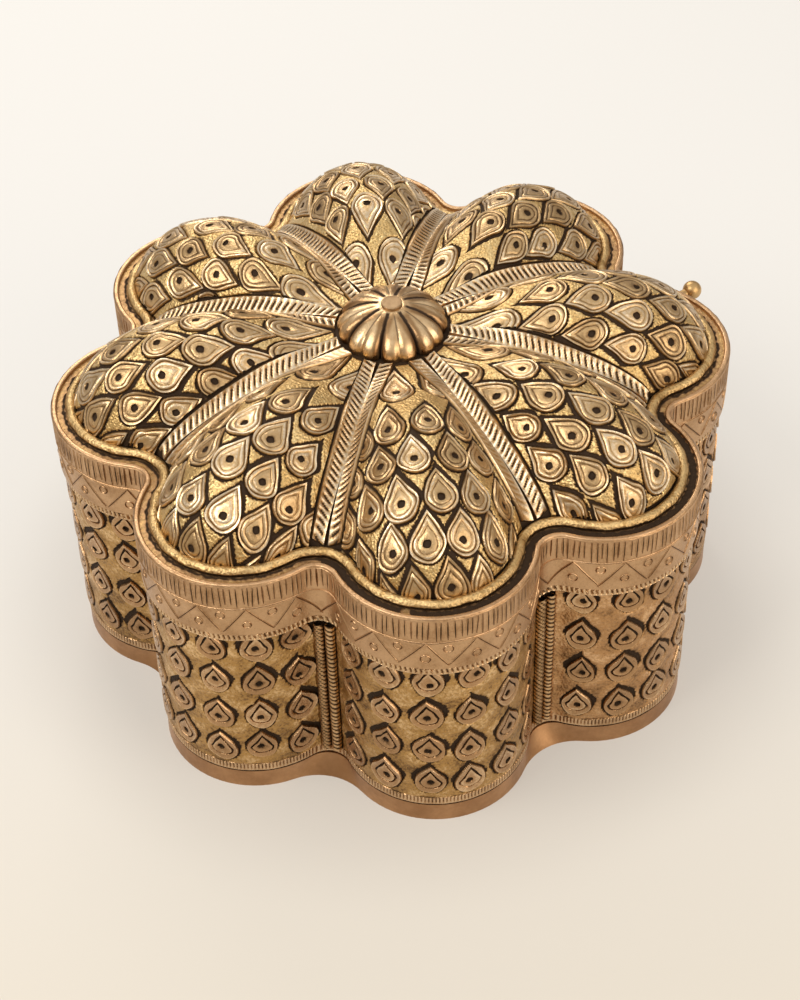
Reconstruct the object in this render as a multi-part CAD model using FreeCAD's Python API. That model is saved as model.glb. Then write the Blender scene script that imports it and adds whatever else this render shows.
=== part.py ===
"""Flower-shaped brass box with a hinged, domed lid. Millimetres, +Z up.

The origin is the centre of the underside. The hinge is in the valley at +Y.
Petal axes lie halfway between the row axes, so valleys lie on +X, +Y, -X and -Y.
"""
import FreeCAD, Part

import math
import os

# Plan of the flower, measured on the outside of the skirt
petal_count = 8
tip_radius = 76.9
lobe_radius = 22.4
valley_fillet = 4.4

# Heights, from the underside
parting_height = 51.5
skirt_height = 15.0
lip_height = 5.0
lip_depth = 7.0

# Sheet and strip thicknesses
skirt_wall = 1.2
body_wall_thickness = 0.9
lip_thickness = 0.8
dome_sheet = 1.3
flange_thickness = 1.0
base_thickness = 1.5

# How far the body's wall stands inside the skirt's outline
wall_inset = 1.5

# Clearances
seat_gap = 0.2
solder_gap = 0.02
sheet_gap = 0.12
band_seat_gap = 0.25
washer_gap = 0.3
hinge_gap = 0.3
bore_clearance = 0.05
knob_seat_gap = 0.1
cut_margin = 1.0

# Border of the lid
groove_width = 1.9
groove_depth = 1.0
roll_radius = 1.2
roll_sink = 0.3
skirt_edge_round = 0.45

# Dome
dome_centre_rise = 12.1
petal_bulge = 7.3
flank_power = 1.1
bulge_full_radius = 45.0
seat_radius = 12.0
valley_profile_power = 2.2
crest_profile_power = 4.7
edge_roundness = 0.6
band_width = 2.8
band_rise = 0.8
band_valley_gap = 0.8
band_end_gap = 1.0

# Chased scales of the petals, each a teardrop with its point towards the knob
scale_rise = 0.85
scale_seat_gap = 0.2
scale_radius = 3.8
scale_point = 7.6
scale_column_pitch = 7.9
scale_row_pitch = 9.7
scale_least_volume = 3.0
scale_row_bow = 0.016
first_row_radius = 23.5
second_row_radius = 38.8

# Chased scales of the walls, with their points up
wall_scale_point = 5.2
wall_scale_angle = 25.5
wall_row_pitch = 11.1
wall_first_row = 12.8

# Knob
knob_radius = 12.2
knob_height = 5.9
knob_under_angle = 8.0
knob_top_angle = 77.0
knob_groove_depth = 0.17
knob_groove_power = 6
knob_centre_groove_depth = 0.05
knob_centre_groove_share = 0.16
rivet_shank_radius = 1.5
rivet_head_radius = 2.3
rivet_head_height = 0.6
rivet_head_round = 0.25
rivet_tail_height = 1.2
washer_radius = 5.0
washer_thickness = 1.0

# Foot and milled wires of the body
foot_height = 5.0
foot_overhang = 0.6
foot_valley_fillet = 13.0
foot_top_overhang = 0.5
foot_rope_height = 2.6
foot_rope_rise = 0.7
top_rope_height = 2.6
top_rope_rise = 1.2
rope_edge_round = 0.35
valley_rope_radius = 1.0
valley_rope_spacing = 2.7
valley_rope_sink = 0.2

# Hinge
hinge_width = 15.0
middle_knuckle_width = 5.2
knuckle_radius = 2.6
hinge_pin_radius = 1.1
pin_head_radius = 1.9
pin_head_height = 0.9
pin_head_round = 0.4
hinge_standoff = 3.6
lug_standoff = 0.45
lid_lug_height = 8.5
body_lug_height = 13.0
lug_taper = 5.0
tail_reach = 8.0
tail_rise = 1.3
tail_root_radius = 1.7
tail_neck_radius = 1.05
ball_radius = 2.3

# Counts that set how finely the free-form faces are sampled
dome_row_count = 20
dome_column_count = 17
band_row_count = 12
band_column_count = 4
wall_column_count = 6

# Values that follow from the ones above
lobe_circle = tip_radius - lobe_radius
half_petal = math.pi / petal_count
rim_height = parting_height + skirt_height
flange_top = rim_height - groove_depth
wall_offset = -wall_inset
lip_offset = wall_offset - body_wall_thickness - solder_gap
roll_offset = -(skirt_wall + groove_width + roll_radius)
dome_offset = roll_offset - roll_radius - sheet_gap
knob_seat = rim_height + dome_centre_rise + knob_seat_gap
back_plane = lobe_circle * math.cos(half_petal) + lobe_radius
skin_edge_share = 0.97
hinge_y = back_plane + hinge_standoff
lug_y = back_plane + lug_standoff


def vec(x, y, z):
    return FreeCAD.Vector(x, y, z)


def polar(radius, angle, z):
    return vec(radius * math.cos(angle), radius * math.sin(angle), z)


def fillet_centre_distance():
    """Distance from the axis to the centre of a valley's fillet, the same for every offset."""
    across = lobe_circle * math.sin(half_petal)
    along = lobe_circle * math.cos(half_petal)
    return along + math.sqrt((lobe_radius + valley_fillet) ** 2 - across ** 2)


def lobed_wire(z, lobe, fillet):
    """Closed outline of round lobes joined by round valleys, at height z."""
    across = lobe_circle * math.sin(half_petal)
    along = lobe_circle * math.cos(half_petal)
    distance = along + math.sqrt((lobe + fillet) ** 2 - across ** 2)
    reach_x = along + (distance - along) * lobe / (lobe + fillet)
    reach_y = across * fillet / (lobe + fillet)
    touch_radius = math.hypot(reach_x, reach_y)
    touch_angle = math.atan2(reach_y, reach_x)
    edges = []
    for k in range(petal_count):
        valley = 2 * half_petal * k
        axis = valley + half_petal
        start = polar(touch_radius, valley + touch_angle, z)
        tip = polar(lobe_circle + lobe, axis, z)
        end = polar(touch_radius, valley + 2 * half_petal - touch_angle, z)
        bottom = polar(distance - fillet, valley + 2 * half_petal, z)
        onward = polar(touch_radius, valley + 2 * half_petal + touch_angle, z)
        edges.append(Part.Arc(start, tip, end).toShape())
        edges.append(Part.Arc(end, bottom, onward).toShape())
    return Part.Wire(edges)


def offset_wire(z, offset):
    """The skirt's outline moved outwards by offset."""
    return lobed_wire(z, lobe_radius + offset, valley_fillet - offset)


def flower_solid(z, height, offset):
    return Part.Face(offset_wire(z, offset)).extrude(vec(0, 0, height))


def flower_ring(z, height, outer_offset, inner_offset):
    outer = flower_solid(z, height, outer_offset)
    return outer.cut(flower_solid(z - cut_margin, height + 2 * cut_margin, inner_offset))


def edges_at(shape, z, inner_offset, outer_offset):
    """Horizontal edges of the plan's outline at height z, between two offsets."""
    found = []
    for edge in shape.Edges:
        box = edge.BoundBox
        if abs(box.ZMin - z) > 1e-4 or abs(box.ZMax - z) > 1e-4:
            continue
        middle = edge.valueAt((edge.FirstParameter + edge.LastParameter) / 2)
        offset = offset_of(middle)
        if inner_offset < offset < outer_offset:
            found.append(edge)
    return found


def offset_of(point):
    """How far a point lies outside the skirt's outline."""
    radius = math.hypot(point.x, point.y)
    angle = math.atan2(point.y, point.x) % (2 * half_petal)
    angle = min(angle, 2 * half_petal - angle)
    x = radius * math.cos(angle)
    y = radius * math.sin(angle)
    from_lobe = math.hypot(x - lobe_circle * math.cos(half_petal), y - lobe_circle * math.sin(half_petal))
    distance = fillet_centre_distance()
    touch = (lobe_circle * math.sin(half_petal)) / (distance - lobe_circle * math.cos(half_petal))
    if y > (distance - x) * touch:
        return from_lobe - lobe_radius
    return valley_fillet - math.hypot(distance - x, y)


# The dome, as a height over the plan

def dome_outline_radius(share):
    """Radius of the dome's outline at a share of the half petal, 0 on the crest and 1 in the valley."""
    lobe = lobe_radius + dome_offset
    fillet = valley_fillet - dome_offset
    distance = fillet_centre_distance()
    from_valley = half_petal * (1 - abs(share))
    across = lobe_circle * math.sin(half_petal) * fillet / (lobe + fillet)
    along = distance - (distance - lobe_circle * math.cos(half_petal)) * fillet / (lobe + fillet)
    if from_valley < math.atan2(across, along):
        inside = fillet ** 2 - (distance * math.sin(from_valley)) ** 2
        return distance * math.cos(from_valley) - math.sqrt(inside)
    angle = half_petal * abs(share)
    inside = lobe ** 2 - (lobe_circle * math.sin(angle)) ** 2
    return lobe_circle * math.cos(angle) + math.sqrt(inside)


def smooth_step(value):
    value = min(max(value, 0.0), 1.0)
    return value ** 3 * (value * (6 * value - 15) + 10)


def edge_curve(share, power):
    return max(1 - share ** power, 0.0) ** edge_roundness


def dome_height(out, share):
    """Height above the rim's groove floor. out goes from 0 at the hole to 1 at the outline."""
    hole = rivet_shank_radius + bore_clearance
    valley_reach = dome_outline_radius(1)
    crest_reach = dome_outline_radius(0)
    valley_radius = hole + out * (valley_reach - hole)
    crest_radius = hole + out * (crest_reach - hole)
    base = dome_centre_rise + groove_depth
    valley = base * edge_curve(valley_radius / valley_reach, valley_profile_power)
    bulge = petal_bulge * smooth_step((crest_radius - seat_radius) / (bulge_full_radius - seat_radius))
    crest = (base + bulge) * edge_curve(crest_radius / crest_reach, crest_profile_power)
    return valley + (crest - valley) * math.cos(math.pi / 2 * share) ** flank_power


def dome_point(out, share, axis, raised=0.0):
    hole = rivet_shank_radius + bore_clearance
    radius = hole + out * (dome_outline_radius(share) - hole)
    z = flange_top + dome_height(out, share) + raised
    return polar(radius, axis + share * half_petal, z)


def spaced_outwards(count):
    """Shares from 0 to 1, closer together towards 1."""
    return [math.sin(0.5 * math.pi * i / (count - 1)) for i in range(count)]


def spread(count, low, high):
    return [low + (high - low) * i / (count - 1) for i in range(count)]


def grid_face(rows):
    surface = Part.BSplineSurface()
    surface.interpolate(rows)
    return surface.toShape()


def edges_on_level(faces, z):
    """Edges of the faces that lie on one level."""
    found = []
    for face in faces:
        for edge in face.Edges:
            if abs(edge.BoundBox.ZMin - z) < 1e-5 and abs(edge.BoundBox.ZMax - z) < 1e-5:
                found.append(edge)
    return found


def edges_round_hole(faces, radius):
    """Edges of the faces whose two ends lie on a circle about the axis."""
    found = []
    for face in faces:
        for edge in face.Edges:
            reaches = [math.hypot(end.Point.x, end.Point.y) for end in edge.Vertexes]
            if max(reaches) < radius + 1e-5:
                found.append(edge)
    return found


def solid_from(faces):
    sewn = Part.Compound(faces)
    sewn.sewShape()
    solid = Part.makeSolid(sewn.Shells[0])
    if solid.Volume < 0:
        solid.reverse()
    return solid


def petal_axes():
    return [half_petal + 2 * half_petal * k for k in range(petal_count)]


def make_lid_dome():
    tops = []
    for axis in petal_axes():
        rows = [[dome_point(out, share, axis) for share in spread(dome_column_count, -1, 1)]
                for out in spaced_outwards(dome_row_count)]
        tops.append(grid_face(rows))
    down = vec(0, 0, -dome_sheet)
    unders = [face.translated(down) for face in tops]
    hole = rivet_shank_radius + bore_clearance
    borders = edges_on_level(tops, flange_top) + edges_round_hole(tops, hole)
    sides = [edge.extrude(down) for edge in borders]
    return solid_from(tops + unders + sides)


def band_share(radius, from_valley):
    """Share of the half petal at a distance from the valley, measured square to it."""
    return 1 - math.asin(from_valley / radius) / half_petal


def make_lid_valley_bands():
    hole = rivet_shank_radius + bore_clearance
    start = knob_radius + band_end_gap
    end = dome_outline_radius(1) - band_end_gap
    bands = []
    for axis in petal_axes():
        for side in (-1, 1):
            rows = []
            for radius in spread(band_row_count, start, end):
                row = []
                for step in spread(band_column_count, band_valley_gap, band_valley_gap + band_width):
                    share = band_share(radius, step)
                    out = (radius - hole) / (dome_outline_radius(share) - hole)
                    row.append(dome_point(out, side * share, axis, band_rise))
                rows.append(row)
            bands.append(grid_face(rows).extrude(vec(0, 0, band_seat_gap - band_rise)))
    return Part.Compound(bands)


# The chased scales

def petal_point(along, across, raised=0.0):
    """A point of the dome on the petal whose axis is +X."""
    hole = rivet_shank_radius + bore_clearance
    share = math.atan2(across, along) / half_petal
    out = (math.hypot(along, across) - hole) / (dome_outline_radius(share) - hole)
    return dome_point(out, share, 0, raised)


def petal_edge_share(out, border):
    """Share of the half petal where the dome comes within the border of the valley's line."""
    hole = rivet_shank_radius + bore_clearance
    share = 0.8
    for _ in range(20):
        radius = hole + out * (dome_outline_radius(share) - hole)
        share = band_share(radius, border)
    return share


def petal_skin(border):
    """A sheet over one petal, as thick as the scales stand out, between its milled strips."""
    hole = rivet_shank_radius + bore_clearance
    start = (knob_radius + band_end_gap - hole) / (dome_outline_radius(1) - hole)
    rows = []
    for out in spaced_outwards(dome_row_count):
        reach = start + out * (skin_edge_share - start)
        edge = petal_edge_share(reach, border)
        rows.append([dome_point(reach, share * edge, 0, scale_rise) for share in spread(dome_column_count, -1, 1)])
    return grid_face(rows).extrude(vec(0, 0, scale_seat_gap - scale_rise))


def row_radii():
    """Distances of the rows from the axis, an even way apart along the crest after the first two."""
    rows = [first_row_radius, second_row_radius]
    here = petal_point(second_row_radius, 0)
    walked = 0.0
    while here.x < dome_outline_radius(0) - scale_radius:
        ahead = petal_point(here.x + scale_seat_gap / 2, 0)
        walked += (ahead - here).Length
        here = ahead
        if walked > scale_row_pitch:
            rows.append(here.x)
            walked = 0.0
    return rows


def across_after(radius, way, half_width):
    """How far from the crest's line a row comes after some way over the dome, at most the half width."""
    across = 0.0
    walked = 0.0
    here = petal_point(radius, 0)
    while walked < way and across < half_width:
        across += scale_seat_gap / 2
        ahead = petal_point(radius - scale_row_bow * across ** 2, across)
        walked += (ahead - here).Length
        here = ahead
    return across


def teardrop_prism(place, along, normal, point):
    """A teardrop in the plane square to the normal, its point towards along, extruded both ways."""
    across = normal.cross(along)
    shoulder = math.acos(scale_radius / point)
    low = place - normal * scale_point
    tip = low + along * point
    shoulders = []
    for side in (-1, 1):
        shoulders.append(low + along * (scale_radius * math.cos(shoulder))
                         + across * (side * scale_radius * math.sin(shoulder)))
    round_end = Part.Arc(shoulders[0], low - along * scale_radius, shoulders[1]).toShape()
    flanks = [Part.makeLine(shoulders[1], tip), Part.makeLine(tip, shoulders[0])]
    return Part.Face(Part.Wire([round_end] + flanks)).extrude(normal * (2 * scale_point))


def scale_prism(along, across):
    """The teardrop that cuts one scale out of a petal's skin."""
    step = scale_seat_gap
    place = petal_point(along, across)
    outward = petal_point(along + step, across) - petal_point(along - step, across)
    sideways = petal_point(along, across + step) - petal_point(along, across - step)
    normal = outward.cross(sideways).normalize()
    return teardrop_prism(place, (outward * -1).normalize(), normal, scale_point)


def all_round(pieces):
    """The pieces of the petal on +X, repeated on every petal."""
    copies = []
    for axis in petal_axes():
        for piece in pieces:
            copy = piece.copy()
            copy.rotate(vec(0, 0, 0), vec(0, 0, 1), math.degrees(axis))
            copies.append(copy)
    return copies


def make_petal_scales():
    border = band_valley_gap + band_width + scale_seat_gap
    skin = petal_skin(border)
    scales = []
    for number, radius in enumerate(row_radii()):
        half_width = radius * math.sin(half_petal) - border
        shift = 0.5 * ((number + 1) % 2)
        reach = int(half_width / scale_column_pitch + 1)
        for column in range(-reach, reach + 1):
            way = (column + shift) * scale_column_pitch
            across = math.copysign(across_after(radius, abs(way), half_width), way)
            along = radius - scale_row_bow * across ** 2
            if abs(across) < half_width:
                pieces = skin.common(scale_prism(along, across)).Solids
                scales += [piece for piece in pieces if piece.Volume > scale_least_volume]
    return Part.Compound(all_round(scales))


def make_wall_scales():
    reach = lobe_radius + wall_offset
    low = foot_height + foot_rope_height + 2 * solder_gap
    height = top_rope_z() - solder_gap - low
    base = vec(lobe_circle, 0, low)
    shell = Part.makeCylinder(reach + scale_rise, height, base)
    shell = shell.cut(Part.makeCylinder(reach + solder_gap, height, base))
    scales = []
    row_count = int((height + low - wall_first_row) / wall_row_pitch) + 1
    for row in range(row_count):
        z = wall_first_row + row * wall_row_pitch
        for column in range(wall_column_count):
            angle = math.radians((column - (wall_column_count - 1) / 2) * wall_scale_angle)
            normal = polar(1, angle, 0)
            place = vec(lobe_circle, 0, z) + normal * (reach + 0.5 * scale_rise)
            prism = teardrop_prism(place, vec(0, 0, 1), normal, wall_scale_point)
            scales += shell.common(prism).Solids
    room = Part.makeBox(hinge_width + 2 * hinge_gap, hinge_y, parting_height,
                        vec(-hinge_width / 2 - hinge_gap, 0, parting_height - body_lug_height - 2 * hinge_gap))
    kept = []
    for scale in all_round(scales):
        if scale.BoundBox.intersect(room.BoundBox):
            kept += scale.cut(room).Solids
        else:
            kept.append(scale)
    return Part.Compound(kept)


def make_lid_skirt():
    wall = flower_ring(parting_height, skirt_height, 0, -skirt_wall)
    both_edges = edges_at(wall, rim_height, -1.1 * skirt_wall, 0.1 * skirt_wall)
    wall = wall.makeFillet(skirt_edge_round, both_edges)
    flange = flower_ring(flange_top - flange_thickness, flange_thickness,
                         -skirt_wall / 2, dome_offset + sheet_gap)
    return wall.fuse(flange)


def make_lid_border_roll():
    centre_z = flange_top + roll_radius - roll_sink
    path = offset_wire(centre_z, roll_offset)
    start = path.Edges[0].Vertexes[0].Point
    along = path.Edges[0].tangentAt(path.Edges[0].FirstParameter)
    section = Part.Wire(Part.makeCircle(roll_radius, start, along))
    roll = path.makePipeShell([section], True, True)
    depth = 2 * roll_radius
    return roll.cut(flower_solid(flange_top - depth, depth + solder_gap, 0))


# The knob

def knob_point(down, share, axis):
    """A point on the fluted knob. down goes from 0 at the button to 1 at the seat."""
    angle = math.radians(knob_top_angle - down * (knob_top_angle + knob_under_angle))
    rise = knob_height / math.sin(math.radians(knob_top_angle))
    under = rise * math.sin(math.radians(knob_under_angle))
    deepening = 1 - (1 - down) ** 2
    groove = knob_groove_depth * abs(share) ** knob_groove_power
    centre_groove = knob_centre_groove_depth * math.exp(-(share / knob_centre_groove_share) ** 2)
    scale = 1 - deepening * (groove + centre_groove)
    radius = knob_radius * math.cos(angle) * scale
    z = (rise * math.sin(angle) + under) * scale
    return polar(radius, axis + share * half_petal, knob_seat + z)


def make_knob_rosette():
    flutes = []
    for axis in petal_axes():
        rows = [[knob_point(down, share, axis) for share in spread(dome_column_count, -1, 1)]
                for down in spread(dome_row_count, 0, 1)]
        flutes.append(grid_face(rows))
    levels = [knob_seat, knob_point(0, 0, 0).z]
    caps = []
    for level in levels:
        rim = Part.Wire(Part.__sortEdges__(edges_on_level(flutes, level)))
        caps.append(Part.Face(rim))
    solid = solid_from(flutes + caps)
    bore = Part.makeCylinder(rivet_shank_radius + bore_clearance, 2 * knob_height,
                             vec(0, 0, knob_seat - cut_margin))
    return solid.cut(bore)


def make_knob_rivet():
    head_z = knob_point(0, 0, 0).z + solder_gap
    tail_z = washer_z() - rivet_tail_height
    shank = Part.makeCylinder(rivet_shank_radius, head_z - tail_z + rivet_head_height / 2, vec(0, 0, tail_z))
    head = Part.makeCylinder(rivet_head_radius, rivet_head_height, vec(0, 0, head_z))
    head = head.makeFillet(rivet_head_round, [head.Edges[0]])
    tail = Part.makeCone(rivet_shank_radius, rivet_head_radius, rivet_tail_height, vec(0, 0, tail_z))
    return shank.fuse([head, tail])


def washer_z():
    return flange_top + dome_height(0, 0) - dome_sheet - washer_thickness - washer_gap


def make_knob_washer():
    disc = Part.makeCylinder(washer_radius, washer_thickness, vec(0, 0, washer_z()))
    hole = Part.makeCylinder(rivet_shank_radius + bore_clearance, 3 * washer_thickness,
                             vec(0, 0, washer_z() - washer_thickness))
    return disc.cut(hole)


# The body

def make_body_wall():
    return flower_ring(0, parting_height - seat_gap, wall_offset, wall_offset - body_wall_thickness)


def make_inner_lip():
    bottom = parting_height - lip_depth
    return flower_ring(bottom, lip_depth + lip_height, lip_offset, lip_offset - lip_thickness)


def make_base_plate():
    return flower_solid(0, base_thickness, lip_offset)


def make_foot_band():
    lobe = lobe_radius + wall_offset
    fillet = valley_fillet - wall_offset
    low = lobed_wire(0, lobe + foot_overhang, foot_valley_fillet)
    high = lobed_wire(foot_height, lobe + foot_top_overhang, fillet)
    foot = Part.makeLoft([low, high], True, True)
    return foot.cut(flower_solid(-cut_margin, foot_height + 2 * cut_margin, wall_offset + solder_gap))


def make_milled_ring(z, height, rise):
    ring = flower_ring(z, height, wall_offset + rise, wall_offset + solder_gap)
    inner = wall_offset + rise / 2
    outer = wall_offset + 2 * rise
    outside = edges_at(ring, z, inner, outer) + edges_at(ring, z + height, inner, outer)
    return ring.makeFillet(rope_edge_round, outside)


def top_rope_z():
    return parting_height - seat_gap - top_rope_height


def make_foot_rope():
    return make_milled_ring(foot_height + solder_gap, foot_rope_height, foot_rope_rise)


def make_body_top_rope():
    ring = make_milled_ring(top_rope_z(), top_rope_height, top_rope_rise)
    room = Part.makeBox(hinge_width + 2 * hinge_gap, hinge_y, 2 * top_rope_height,
                        vec(-hinge_width / 2 - hinge_gap, 0, top_rope_z() - top_rope_height / 2))
    return ring.cut(room)


def make_body_valley_ropes():
    low = foot_height + foot_rope_height + 2 * solder_gap
    full = top_rope_z() - solder_gap - low
    short = parting_height - hinge_gap - body_lug_height - solder_gap - low
    wall = flower_solid(0, parting_height, wall_offset + solder_gap)
    reach = valley_fillet - wall_offset - valley_rope_radius + valley_rope_sink
    swing = math.asin(valley_rope_spacing / 2 / reach)
    ropes = []
    for k in range(petal_count):
        valley = 2 * half_petal * k
        height = full
        if abs(valley - math.pi / 2) < half_petal:
            height = short
        centre = polar(fillet_centre_distance(), valley, low)
        for side in (-1, 1):
            place = centre - polar(reach, valley + side * swing, 0)
            rope = Part.makeCylinder(valley_rope_radius, height, place)
            ropes.append(rope.cut(wall))
    return Part.Compound(ropes)


# The hinge

def x_cylinder(radius, start, end):
    return Part.makeCylinder(radius, end - start, vec(start, hinge_y, parting_height), vec(1, 0, 0))


def prism_across(points, start, end):
    """A profile of (y, z) points, extruded along X."""
    corners = [vec(start, y, z) for y, z in points]
    corners.append(corners[0])
    return Part.Face(Part.makePolygon(corners)).extrude(vec(end - start, 0, 0))


def make_hinge_lid_lug():
    half = hinge_width / 2
    middle = middle_knuckle_width / 2
    low = parting_height + hinge_gap
    high = parting_height + lid_lug_height
    root = back_plane - lobe_radius / 2
    lug = prism_across([(root, low), (lug_y, low), (lug_y, high - lug_taper), (root, high)], -half, half)
    lug = lug.cut(flower_solid(parting_height - cut_margin, skirt_height + 2 * cut_margin, solder_gap))
    arm = prism_across([(lug_y - 1, low), (hinge_y, low), (hinge_y, low + knuckle_radius - hinge_gap),
                        (lug_y - 1, low + knuckle_radius)], -middle, middle)
    knuckle = x_cylinder(knuckle_radius, -middle, middle)
    ball_place = vec(0, hinge_y + tail_reach, parting_height + tail_rise)
    tail_direction = vec(0, tail_reach, tail_rise)
    neck = Part.makeCone(tail_root_radius, tail_neck_radius, tail_direction.Length,
                         vec(0, hinge_y, parting_height), tail_direction)
    ball = Part.makeSphere(ball_radius, ball_place)
    whole = lug.fuse([arm, knuckle, neck, ball])
    return whole.cut(x_cylinder(hinge_pin_radius + bore_clearance, -half, half))


def make_hinge_body_lug():
    half = hinge_width / 2
    clear = middle_knuckle_width / 2 + hinge_gap
    high = parting_height - hinge_gap
    low = high - body_lug_height
    arm_low = high - knuckle_radius + hinge_gap
    root = back_plane - lobe_radius / 2
    lug = prism_across([(root, low), (lug_y - lug_taper, low), (lug_y, low + lug_taper), (lug_y, high),
                        (root, high)], -half, half)
    lug = lug.cut(flower_solid(0, parting_height, wall_offset + solder_gap))
    pieces = []
    for start, end in ((-half, -clear), (clear, half)):
        pieces.append(prism_across([(lug_y - 1, arm_low), (hinge_y, arm_low), (hinge_y, high),
                                    (lug_y - 1, high)], start, end))
        pieces.append(x_cylinder(knuckle_radius, start, end))
    whole = lug.fuse(pieces)
    return whole.cut(x_cylinder(hinge_pin_radius + bore_clearance, -half - cut_margin, half + cut_margin))


def make_hinge_pin():
    half = hinge_width / 2
    pin = x_cylinder(hinge_pin_radius, -half, half)
    heads = []
    for start, edge in ((half + solder_gap, 0), (-half - solder_gap - pin_head_height, 2)):
        head = x_cylinder(pin_head_radius, start, start + pin_head_height)
        heads.append(head.makeFillet(pin_head_round, [head.Edges[edge]]))
    joint = x_cylinder(hinge_pin_radius, -half - 2 * solder_gap, half + 2 * solder_gap)
    return pin.fuse(heads + [joint])


def write(name, shape):
    solids = shape.Solids
    for solid in solids:
        if not solid.isValid():
            print(name, "has a solid that is not valid")
    box = shape.BoundBox
    print("%-20s solids %2d  volume %9.1f  x %.2f %.2f  y %.2f %.2f  z %.2f %.2f" % (
        name, len(solids), shape.Volume, box.XMin, box.XMax, box.YMin, box.YMax, box.ZMin, box.ZMax))
    shape.exportStep("parts/" + name + ".step")


def main():
    os.makedirs("parts", exist_ok=True)
    write("lid_dome", make_lid_dome())
    write("lid_skirt", make_lid_skirt())
    write("lid_border_roll", make_lid_border_roll())
    write("lid_valley_bands", make_lid_valley_bands())
    write("petal_scales", make_petal_scales())
    write("knob_rosette", make_knob_rosette())
    write("knob_rivet", make_knob_rivet())
    write("knob_washer", make_knob_washer())
    write("hinge_lid_lug", make_hinge_lid_lug())
    write("body_wall", make_body_wall())
    write("wall_scales", make_wall_scales())
    write("inner_lip", make_inner_lip())
    write("base_plate", make_base_plate())
    write("foot_band", make_foot_band())
    write("foot_rope", make_foot_rope())
    write("body_top_rope", make_body_top_rope())
    write("body_valley_ropes", make_body_valley_ropes())
    write("hinge_body_lug", make_hinge_body_lug())
    write("hinge_pin", make_hinge_pin())


main()
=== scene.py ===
"""Flower-shaped brass box: chased petals and walls, milled wires, engraved skirt and fluted knob.

Sizes are in metres. The plan of the flower repeats the sizes of the solids, so that the chased
sheet lies on them. Relief is real geometry, and each piece carries a patina attribute, 1 where
the metal is black and 0 where it is worn bright, which its material reads.
"""

import math
import random

import bpy
import numpy as np
from mathutils import Matrix, Vector


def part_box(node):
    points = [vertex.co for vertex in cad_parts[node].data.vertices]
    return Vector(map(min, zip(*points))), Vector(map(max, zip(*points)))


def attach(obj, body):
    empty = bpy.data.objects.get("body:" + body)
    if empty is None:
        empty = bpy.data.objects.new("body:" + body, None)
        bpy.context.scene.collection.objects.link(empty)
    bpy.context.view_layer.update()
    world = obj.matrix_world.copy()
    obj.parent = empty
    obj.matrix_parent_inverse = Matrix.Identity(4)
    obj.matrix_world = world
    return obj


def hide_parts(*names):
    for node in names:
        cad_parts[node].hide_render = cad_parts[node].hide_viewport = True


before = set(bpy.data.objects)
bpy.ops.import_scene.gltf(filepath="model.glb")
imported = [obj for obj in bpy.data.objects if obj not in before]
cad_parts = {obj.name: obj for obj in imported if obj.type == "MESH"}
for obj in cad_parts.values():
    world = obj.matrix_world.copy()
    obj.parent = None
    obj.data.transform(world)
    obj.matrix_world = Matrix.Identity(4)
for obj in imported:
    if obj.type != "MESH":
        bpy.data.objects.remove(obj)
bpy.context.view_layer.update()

bl_info = {
    "name": "Brass flower box",
    "version": (1, 0, 0),
    "blender": (4, 5, 0),
    "location": "View3D > Sidebar > Flower box",
    "description": "Dresses the solids of a brass flower box with its chased and milled surfaces",
    "category": "Object",
}

MM = 0.001
PETALS = 8
HALF = math.pi / PETALS
BOX, LID = "box", "lid"


# Sizes and colours that a user would change


class FlowerSizes(bpy.types.PropertyGroup):
    tip_radius: bpy.props.FloatProperty(
        name="Tip radius", description="From the axis to the tip of a lobe of the skirt",
        default=76.9 * MM, unit="LENGTH")
    lobe_radius: bpy.props.FloatProperty(
        name="Lobe radius", description="Radius of each lobe of the skirt", default=22.4 * MM, unit="LENGTH")
    valley_fillet: bpy.props.FloatProperty(
        name="Valley fillet", description="Radius of the skirt between two lobes", default=4.4 * MM, unit="LENGTH")
    flange_top: bpy.props.FloatProperty(
        name="Groove floor", description="Height of the floor of the lid's groove", default=65.5 * MM, unit="LENGTH")
    dome_inset: bpy.props.FloatProperty(
        name="Dome inset", description="From the skirt's outline in to the dome's", default=5.62 * MM, unit="LENGTH")
    dome_rise: bpy.props.FloatProperty(
        name="Dome rise", description="Height of the dome's middle above the groove floor",
        default=13.1 * MM, unit="LENGTH")
    petal_bulge: bpy.props.FloatProperty(
        name="Petal bulge", description="How far the crest of a petal rises above the middle",
        default=7.3 * MM, unit="LENGTH")
    wall_inset: bpy.props.FloatProperty(
        name="Wall inset", description="From the skirt's outline in to the wall", default=1.5 * MM, unit="LENGTH")


class FlowerRelief(bpy.types.PropertyGroup):
    ground: bpy.props.FloatProperty(
        name="Ground", description="Height of the stippled ground over the bottom of the strokes",
        default=0.5 * MM, unit="LENGTH")
    scale_radius: bpy.props.FloatProperty(
        name="Scale radius", description="Radius of the round end of a petal's scale", default=3.85 * MM, unit="LENGTH")
    wall_scale_radius: bpy.props.FloatProperty(
        name="Wall scale radius", description="Radius of the round end of a wall's scale",
        default=3.85 * MM, unit="LENGTH")
    stroke: bpy.props.FloatProperty(
        name="Stroke", description="Width of the black strokes along a scale's flanks",
        default=0.8 * MM, unit="LENGTH")
    column_pitch: bpy.props.FloatProperty(
        name="Column pitch", description="Distance between the scales of a petal's row",
        default=7.85 * MM, unit="LENGTH")
    row_pitch: bpy.props.FloatProperty(
        name="Row pitch", description="Distance between a petal's rows, along its crest",
        default=9.5 * MM, unit="LENGTH")
    rung_pitch: bpy.props.FloatProperty(
        name="Rung pitch", description="Distance between the rungs of the milled strips",
        default=1.25 * MM, unit="LENGTH")
    seed: bpy.props.IntProperty(
        name="Seed", description="Which of the hand's small errors are made", default=7)


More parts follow.
